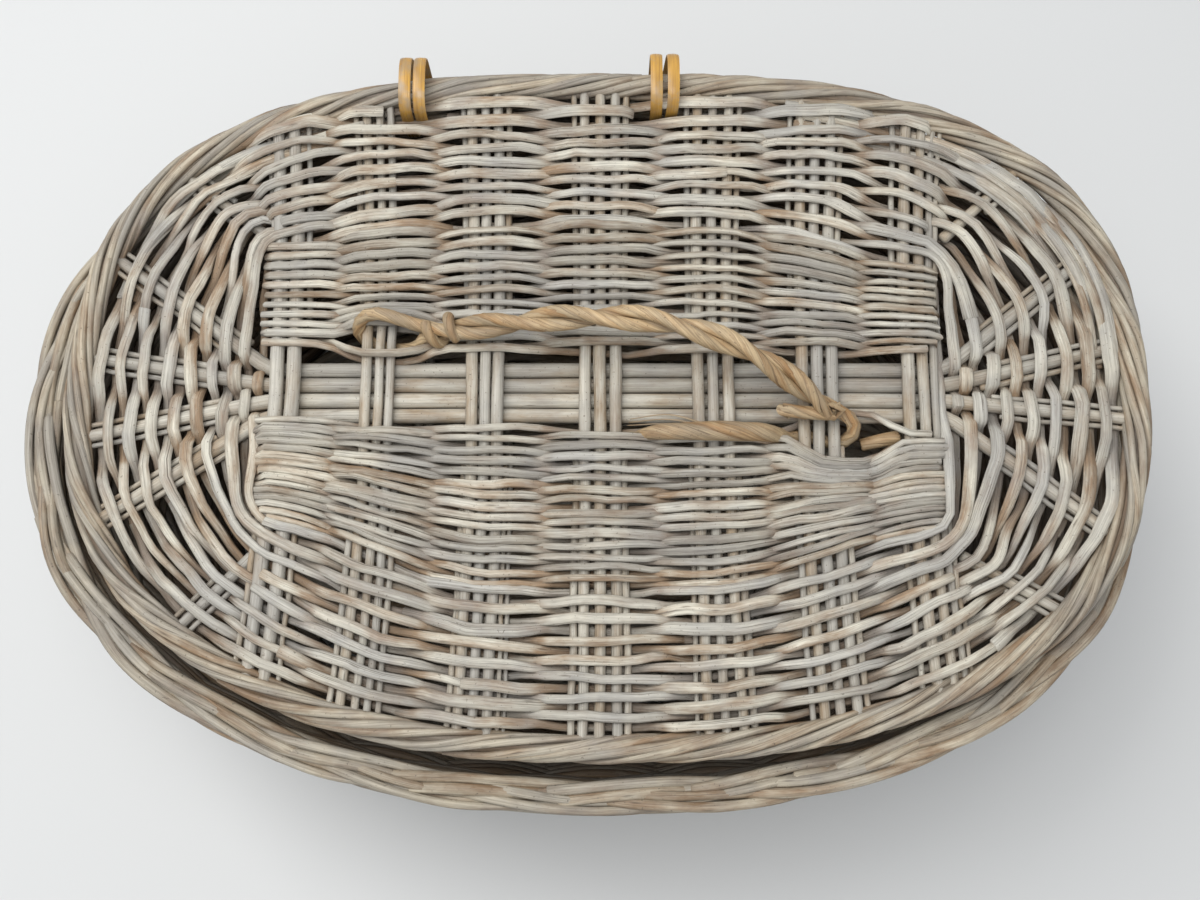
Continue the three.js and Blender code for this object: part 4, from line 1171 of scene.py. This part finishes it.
# The bottom: the heights of its long and its cross sticks, the long sticks' half length and step, the
# places of the cross sticks, its rows, and the half size of the innermost row
BOTTOM_LONG_Z, BOTTOM_CROSS_Z = 6.7, 9.6
BOTTOM_HALF, BOTTOM_PITCH = 190, 5.7
BOTTOM_CROSS_X = (-90, 0, 90)
BOTTOM_ROWS, BOTTOM_CORE_LENGTH, BOTTOM_CORE_WIDTH = 27, 158, 11.5
# How far the rows rise and dip at a stick, and the heights that they keep between
BOTTOM_LIFT, BOTTOM_ROW_LOW, BOTTOM_ROW_HIGH = 2.6, 6.0, 12.4
# Its rods, each as its width and thickness
LONG_STICK, CROSS_STICK, BOTTOM_SPOKE, BOTTOM_WEAVER = (5.9, 5.7), (5.0, 4.9), (4.2, 4.0), (4.4, 2.2)


def lay_bottom_sticks():
    """The bottom's straight sticks: three long ones with three pairs across them."""
    rods = Bundle()
    for k in range(3):
        x = np.linspace(-BOTTOM_HALF, BOTTOM_HALF, 60)
        rods.lay(line_of(x, (1 - k) * BOTTOM_PITCH, BOTTOM_LONG_Z), *LONG_STICK, facing=UPWARDS,
                 step=6, sides=10)
    rods.piece("base_long_rods", STICK_WILLOW, "basket", "willow_stick", "bottom_long_sticks")
    for n, x in enumerate(BOTTOM_CROSS_X):
        pair = Bundle()
        half = 111 if x == 0 else 101
        for beside in (-2.6, 2.6):
            line = line_of(x + beside, np.linspace(-half, half, 50), BOTTOM_CROSS_Z + 1)
            pair.lay(line, *CROSS_STICK, facing=UPWARDS, step=6, sides=10)
        pair.piece(f"base_cross_rods_{n + 1}", STICK_WILLOW, "basket", "willow_stick",
                   f"bottom_cross_sticks_{n + 1}")


def bottom_spokes():
    """The starts and ends of the spokes between the bottom's sticks."""
    spokes = []
    for x, sweep in ((-135, 16), (-45, 4), (45, 4), (135, 16)):
        for sign in (1, -1):
            spokes.append(((x * 0.93, sign * 9.0), (x + math.copysign(sweep, x), sign * 116)))
    for x, direction in ((-150, -1), (150, 1)):
        for degrees in (-42, -15, 15, 42):
            angle = math.radians(degrees)
            y = math.copysign(5, degrees)
            end = (x + direction * 70 * math.cos(angle), y + 90 * math.sin(angle))
            spokes.append(((x, y), end))
    return spokes


def lay_bottom_weaving():
    """The rows round the bottom's sticks, from an oval at its middle to the foot."""
    edge = side_inset(FOOT_HEIGHT) - 4.5 + FOOT_WIDTH
    weaving = Bundle()
    sticks = [(np.array([(x, sign * 8.0), (x, sign * 125.0)]), 6.0)
              for x in BOTTOM_CROSS_X for sign in (1, -1)]
    for start, end in bottom_spokes():
        spoke = np.array([start, end])
        sticks.append((spoke, 4.0))
        line = np.array([p for p in even(spoke, 2.0) if inside_oval(p, RIM, edge - 2)])
        weaving.lay(line_of(line[:, 0], line[:, 1], BOTTOM_CROSS_Z), *BOTTOM_SPOKE, facing=UPWARDS,
                    step=6)
    sticks.sort(key=lambda s: math.atan2(s[0][1][1], s[0][1][0]) % (2 * math.pi))
    longest, widest = RIM["half_length"] - edge - 2.0, RIM["half_width"] - edge - 2.0
    for m in range(BOTTOM_ROWS):
        share = m / (BOTTOM_ROWS - 1)
        rounder = 3 * (1 - share) ** 1.5
        oval = dict(x=0, y=0,
                    half_length=BOTTOM_CORE_LENGTH + (longest - BOTTOM_CORE_LENGTH) * share,
                    half_width=BOTTOM_CORE_WIDTH + (widest - BOTTOM_CORE_WIDTH) * share,
                    front_left=2.1 + rounder, front_right=2.4 + rounder, back=2.3 + rounder)
        line = oval_line(oval, 0.0)
        run = run_of(line)
        crossings = []
        for order, (stick, half) in enumerate(sticks):
            for at in crossing_runs(line, stick):
                lift = BOTTOM_LIFT if (order + m) % 2 else -BOTTOM_LIFT
                crossings.append((at, half, BOTTOM_CROSS_Z + lift))
        z = woven(run, crossings, run[-1])
        line = np.column_stack([line, np.clip(z, BOTTOM_ROW_LOW, BOTTOM_ROW_HIGH)])
        line[:, :2] += wander(run, 0.4, 120)[:, None] * 0.7
        for rod in cut_lengths(line, *BOTTOM_LENGTHS, line[:, 2] < BOTTOM_CROSS_Z - 1.5):
            weaving.lay(rod, BOTTOM_WEAVER[0] * rng.uniform(0.94, 1.1), BOTTOM_WEAVER[1],
                        facing=UPWARDS, step=5, deep=0.25, taper=(1.06, 0.9))
    weaving.piece("base_weaving", BASE_WILLOW, "basket", "willow_weave", "bottom_weave")


# The cane hinges: the strip, the gap between its turns, the height of its rounded top, and where on
# its loop it starts and how many turns it makes
CANE_WIDTH, CANE_THICK, CANE_GAP, CANE_CROWN = 5.5, 1.2, 0.8, 11.6
CANE_START, CANE_TURNS = 0.14, 1.72
# The share of a turn in which the strip crosses over to its second track, and the height from which
# and the rise over which that track leans
CANE_CROSSING, LEAN_FROM_Z, LEAN_RISE = 0.16, 160, 24


def lay_hinge(name, x, node, slant):
    """A strip of split cane wound twice round both borders. Its second turn can lie aslant."""
    low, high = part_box(node)
    middle_y = (low.y + high.y) / 2 / MM - FORWARD[1] / MM
    half = (high.y - low.y) / 2 / MM - CANE_THICK / 2
    bottom, top = low.z / MM + CANE_THICK / 2, high.z / MM - CANE_THICK / 2
    turn = np.linspace(CANE_START, CANE_START + CANE_TURNS, 150)
    angle = turn * 2 * math.pi - math.pi / 2
    c, s = (np.sign(v) * np.abs(v) ** (2 / 3) for v in (np.cos(angle), np.sin(angle)))
    rise = np.where(s > 0, CANE_CROWN, half)
    z = np.where(s > 0, top - CANE_CROWN, bottom + half) + rise * s
    whole = np.round(turn)
    track = np.clip(whole - 1 + np.clip((turn - whole) / CANE_CROSSING + 0.5, 0, 1), 0, 1)
    lean = slant * np.clip((z - LEAN_FROM_Z) / LEAN_RISE, 0, 1) * track
    line = line_of(x + (track - 0.5) * (CANE_WIDTH + CANE_GAP) + lean, middle_y + half * c, z)
    loop = Bundle()
    loop.lay(line, CANE_WIDTH, CANE_THICK, facing=unit(line_of(0.0, c * half, rise * s)), step=1.6,
             sides=10, lumps=0.01)
    loop.piece(name, CANE, "basket", "split_cane", node)


# The handle: its left hook's axis, the way to the right hook, and the way that its arch stands up
HANDLE_LEAN = math.radians(33)
HOOK_LEFT = np.array([-84.632, 33.5, 169.089])
ALONG = np.array([0.9758705, -0.2183499, 0.0])
BACK = np.array([-ALONG[1], ALONG[0], 0.0])
UP = np.array([0, 0, math.cos(HANDLE_LEAN)]) + BACK * math.sin(HANDLE_LEAN)
SIDE = np.cross(ALONG, UP)
# From hook to hook, the arch's rise over them, and the hooks' height and half width
SPAN, RISE, HOOK_OVER, HOOK_HALF = 187.8, 44.0, 16.5, 10.5
# The arch, in shares of the span and the rise, and the hooks, in shares of their own sizes
ARCH = ((0.085, 0.29), (0.16, 0.40), (0.26, 0.58), (0.42, 0.85), (0.58, 1.0), (0.72, 0.97), (0.84, 0.81),
        (0.93, 0.6), (1.0, 0.4))
LEFT_HOOK = ((1.35, 0.25), (0.75, 0), (-0.7, 0), (-1.12, 0.24), (-1.1, 0.63), (-0.6, 1))
RIGHT_HOOK = ((1.1, 0.86), (1.27, 0.36), (0.8, 0), (0, 0), (-0.3, 0))
# How far each strand lies from the middle of the twist, how often they wind round each other, and
# the radius of the rod and of the knot's
TWIST, TWIST_TURNS, HANDLE_RADIUS, KNOT_RADIUS = 2.75, 2.75, 3.05, 2.6
# The knot: where it starts and how far it winds, in turns, where it starts and how far it runs, in
# points of the arch, and how far it lies from the arch's middle, over it and aside
KNOT_START, KNOT_TURNS, KNOT_FROM, KNOT_ALONG, KNOT_OVER, KNOT_ASIDE = 0.05, 1.25, 3, 13, 5.4, 5.0
# The rod's free end, which bends back over the right group: how far short of the hook, up and aside
BENT_END = ((14.5, 14.2, 3.0), (18.2, 15.3, 3.5), (10.5, 15.8, 3.3), (2.0, 16.5, 2.2), (-4.8, 17.8, 1.2),
            (-3.8, 20.4, 0.3))
# The tail's length, its course in shares of its length and of its rise over the group, and its
# radius at shares of its run
TAIL_LENGTH = 75.9
TAIL_COURSE = ((0.12, 0.05), (0.26, 0.72), (0.52, 1), (0.86, 0.78), (1, 0))
TAIL_RADIUS = ((0, 0.2, 0.45, 0.8, 1), (2.6, 3.8, 4.6, 3.7, 1.5))
# Where on the tail its loose fibres part from it, and how far each one spreads and reaches
FIBRES_PART, LOOSE_FIBRES = 0.56, ((0.9, 17), (1.9, 14), (3.0, 11), (-1.2, 13))
# The rod's other end, cut off beyond the right hook
CUT_END = ((117.6, -10.0, 168.6), (122.0, -9.1, 169.7), (126.5, -8.2, 170.6), (132.5, -7.2, 171.6))


def handle_point(along, rise, side=0.0):
    """A point of the handle, from the axis of its left hook."""
    return HOOK_LEFT + ALONG * along + UP * rise + SIDE * side


def lay_fibres(bundle, line, radius, count, lead):
    """A rod that its twisting has split into a few strips, which wind round once in the lead."""
    run = run_of(line)
    side = carried_sides(line)
    up = np.cross(ahead_of(line), side)
    strip = np.broadcast_to(radius * 0.62, run.shape)
    for j in range(count):
        angle = 2 * math.pi * (run / lead + j / count) + wander(run, 0.25, 60)
        reach = strip * 0.9 * (1 + wander(run, 0.07, 35))
        way = side * np.cos(angle)[:, None] + up * np.sin(angle)[:, None]
        bundle.lay(line + way * reach[:, None], strip * 2.15, strip * 1.35, facing=way, step=2.0,
                   lumps=0.06, tone=rng.uniform(0.2, 1.0), taper=(0.9, 0.9))


def lay_handle():
    """One rod, twisted double between its hooks, with a knot beside the left one."""
    arch = even(smooth_curve([handle_point(a * SPAN, b * RISE) for a, b in ARCH], 24), 1.0)
    run = run_of(arch)
    outer = -np.cross(np.broadcast_to(SIDE, arch.shape), ahead_of(arch))

    def strand(turn):
        angle = (turn + TWIST_TURNS * run / run[-1]) * 2 * math.pi
        return (arch - outer * (TWIST * np.cos(angle))[:, None]
                + SIDE * (TWIST * np.sin(angle))[:, None])

    upper, lower = strand(0.0), strand(0.5)
    bent_end = [handle_point(SPAN - a, b, c) for a, b, c in BENT_END]
    left = [handle_point(a * HOOK_HALF, b * HOOK_OVER) for a, b in LEFT_HOOK]
    right = [handle_point(SPAN + a * HOOK_HALF, b * HOOK_OVER) for a, b in RIGHT_HOOK]
    line = smooth_curve(np.vstack([bent_end, lower[::-1][::8], left, upper[::8], right]), 10)
    handle = Bundle()
    lay_fibres(handle, even(line, 1.0), HANDLE_RADIUS, 5, 40)

    knot = np.linspace(0, 1, 40)
    turn = (KNOT_START + KNOT_TURNS * knot) * 2 * math.pi
    place = arch[(KNOT_FROM + KNOT_ALONG * knot).astype(int)]
    wrap = (place - outer[6] * (KNOT_OVER * np.cos(turn))[:, None]
            + SIDE * (KNOT_ASIDE * np.sin(turn))[:, None])
    lay_fibres(handle, even(smooth_curve(wrap[::3], 8), 1.0), KNOT_RADIUS, 4, 36)
    handle.piece("handle_twisted_rod", HANDLE_WILLOW, "handle", "handle_willow", "handle_rod")


def lay_tail():
    """The rod's tail, which lies along the lid, with loose fibres at its tip, and its cut end."""
    tail = Bundle()
    start = handle_point(SPAN - HOOK_HALF * 0.3 - 0.3, 0)
    over = GROUP_Z + ROD + 0.3 + 3.6 - HOOK_LEFT[2]
    points = [start, handle_point(SPAN - HOOK_HALF * 0.6 - 0.3, 0)]
    points += [start + np.array([-a * TAIL_LENGTH, 0, b * over]) for a, b in TAIL_COURSE]
    line = even(smooth_curve(points, 12), 1.2)
    share = run_of(line) / run_of(line)[-1]
    lay_fibres(tail, line, np.interp(share, *TAIL_RADIUS), 5, 62)
    for spread, reach in LOOSE_FIBRES:
        root = line[int(len(line) * FIBRES_PART)] + np.array([0, spread * 0.6, 1.6])
        tip = line[-4] + np.array([-reach * 0.2, 2.6 + spread * 1.3, 3.4])
        middle = (root + tip) / 2 + np.array([0, spread * 0.9, 2.2])
        fibre = even(smooth_curve([root, middle, tip], 10), 1.2)
        tail.lay(fibre, 1.0, 0.6, facing=UPWARDS, step=2.0, sides=6, tone=0.1, taper=(1.0, 0.4))
    cut_end = even(smooth_curve(CUT_END, 12), 1.2)
    lay_fibres(tail, cut_end, np.linspace(3.0, 3.4, len(cut_end)), 5, 120)
    tail.piece("handle_tail_rod", HANDLE_WILLOW, "lid", "handle_willow", "handle_tail")


# Making the basket
for i in range(GROUPS):
    lay_group(i)
for k in range(4):
    lay_spine_stick(k)
lay_corner_spokes()
lay_core("front", FRONT_ROWS)
lay_core("back", BACK_ROWS)
lay_round()
lay_lid_border()
lay_rim()
lay_sides()
lay_stakes()
lay_waling("top_waling", "top_wale", [(z, side_inset(z) + STAKE_MIDDLE) for z in TOP_WALE_Z],
           rod=3.7, swing=3.2, lift=1.1, under_loops=True)
lay_waling("foot_waling", "foot_wale", [(z, side_inset(FOOT_HEIGHT) + 3.0) for z in FOOT_WALE_Z],
           rod=4.2, swing=4.6, lift=0.5)
lay_bottom_sticks()
lay_bottom_weaving()
lay_hinge("hinge_cane_left", LOOP_LEFT, "hinge_loop_left", 0.0)
lay_hinge("hinge_cane_right", LOOP_RIGHT, "hinge_loop_right", 1.2)
lay_handle()
lay_tail()


# Floor, light and camera, in metres and watts. Each lamp is its name, place, size and power
FLOOR_GREY = (0.62, 0.62, 0.61, 1)
ROOM_COLOUR, ROOM_STRENGTH = (0.93, 0.96, 1.0, 1), 0.7
LAMPS = (("window", (-0.8, 0.6, 1.6), 0.9, 15.6),
         ("room", (-0.1, -1.1, 1.8), 1.6, 3.3),
         ("overhead", (-0.08, 0.0, 1.0), 0.4, 3.15))
LAMPS_AIM = Vector((0, 0, 0.1))
CAMERA_AIM, CAMERA_DISTANCE = Vector((0.007, -0.016375, 0.1773)), 0.528
CAMERA_ELEVATION = math.radians(77.5)
CAMERA_WIDTH, CAMERA_LENS = 36.0, 38.16


def plain_floor():
    """A plain pale floor under the basket."""
    bpy.ops.object.select_all(action="DESELECT")
    bpy.ops.mesh.primitive_plane_add(size=6, location=(0, 0, 0))
    floor = bpy.context.object
    floor.name = "floor"
    f = Finish("plain_floor", 0.85)
    f.shader.inputs["Base Color"].default_value = FLOOR_GREY
    floor.data.materials.append(f.material)


def stand(name, data, place, towards):
    """A lamp or a camera at its place, turned the way that it looks."""
    holder = bpy.data.objects.new(name, data)
    bpy.context.scene.collection.objects.link(holder)
    holder.location = place
    holder.rotation_mode = "QUATERNION"
    holder.rotation_quaternion = towards.to_track_quat("-Z", "Y")
    return holder


def soft_light():
    """A bright room with a window at the left and two softer lamps."""
    world = bpy.data.worlds.new("soft_room")
    bpy.context.scene.world = world
    world.use_nodes = True
    background = world.node_tree.nodes["Background"]
    background.inputs["Color"].default_value = ROOM_COLOUR
    background.inputs["Strength"].default_value = ROOM_STRENGTH
    for name, place, size, power in LAMPS:
        lamp = bpy.data.lights.new(name, "AREA")
        lamp.size, lamp.energy = size, power
        stand(name, lamp, place, LAMPS_AIM - Vector(place))


def photo_camera():
    """The camera, which looks down on the lid from in front of it."""
    back = Vector((0, -math.cos(CAMERA_ELEVATION), math.sin(CAMERA_ELEVATION)))
    data = bpy.data.cameras.new("camera")
    data.sensor_width, data.lens = CAMERA_WIDTH, CAMERA_LENS
    data.clip_start, data.clip_end = 0.01, 50
    bpy.context.scene.camera = stand("camera", data, CAMERA_AIM + back * CAMERA_DISTANCE, -back)


plain_floor()
soft_light()
photo_camera()
bpy.context.scene.view_settings.view_transform = "Standard"
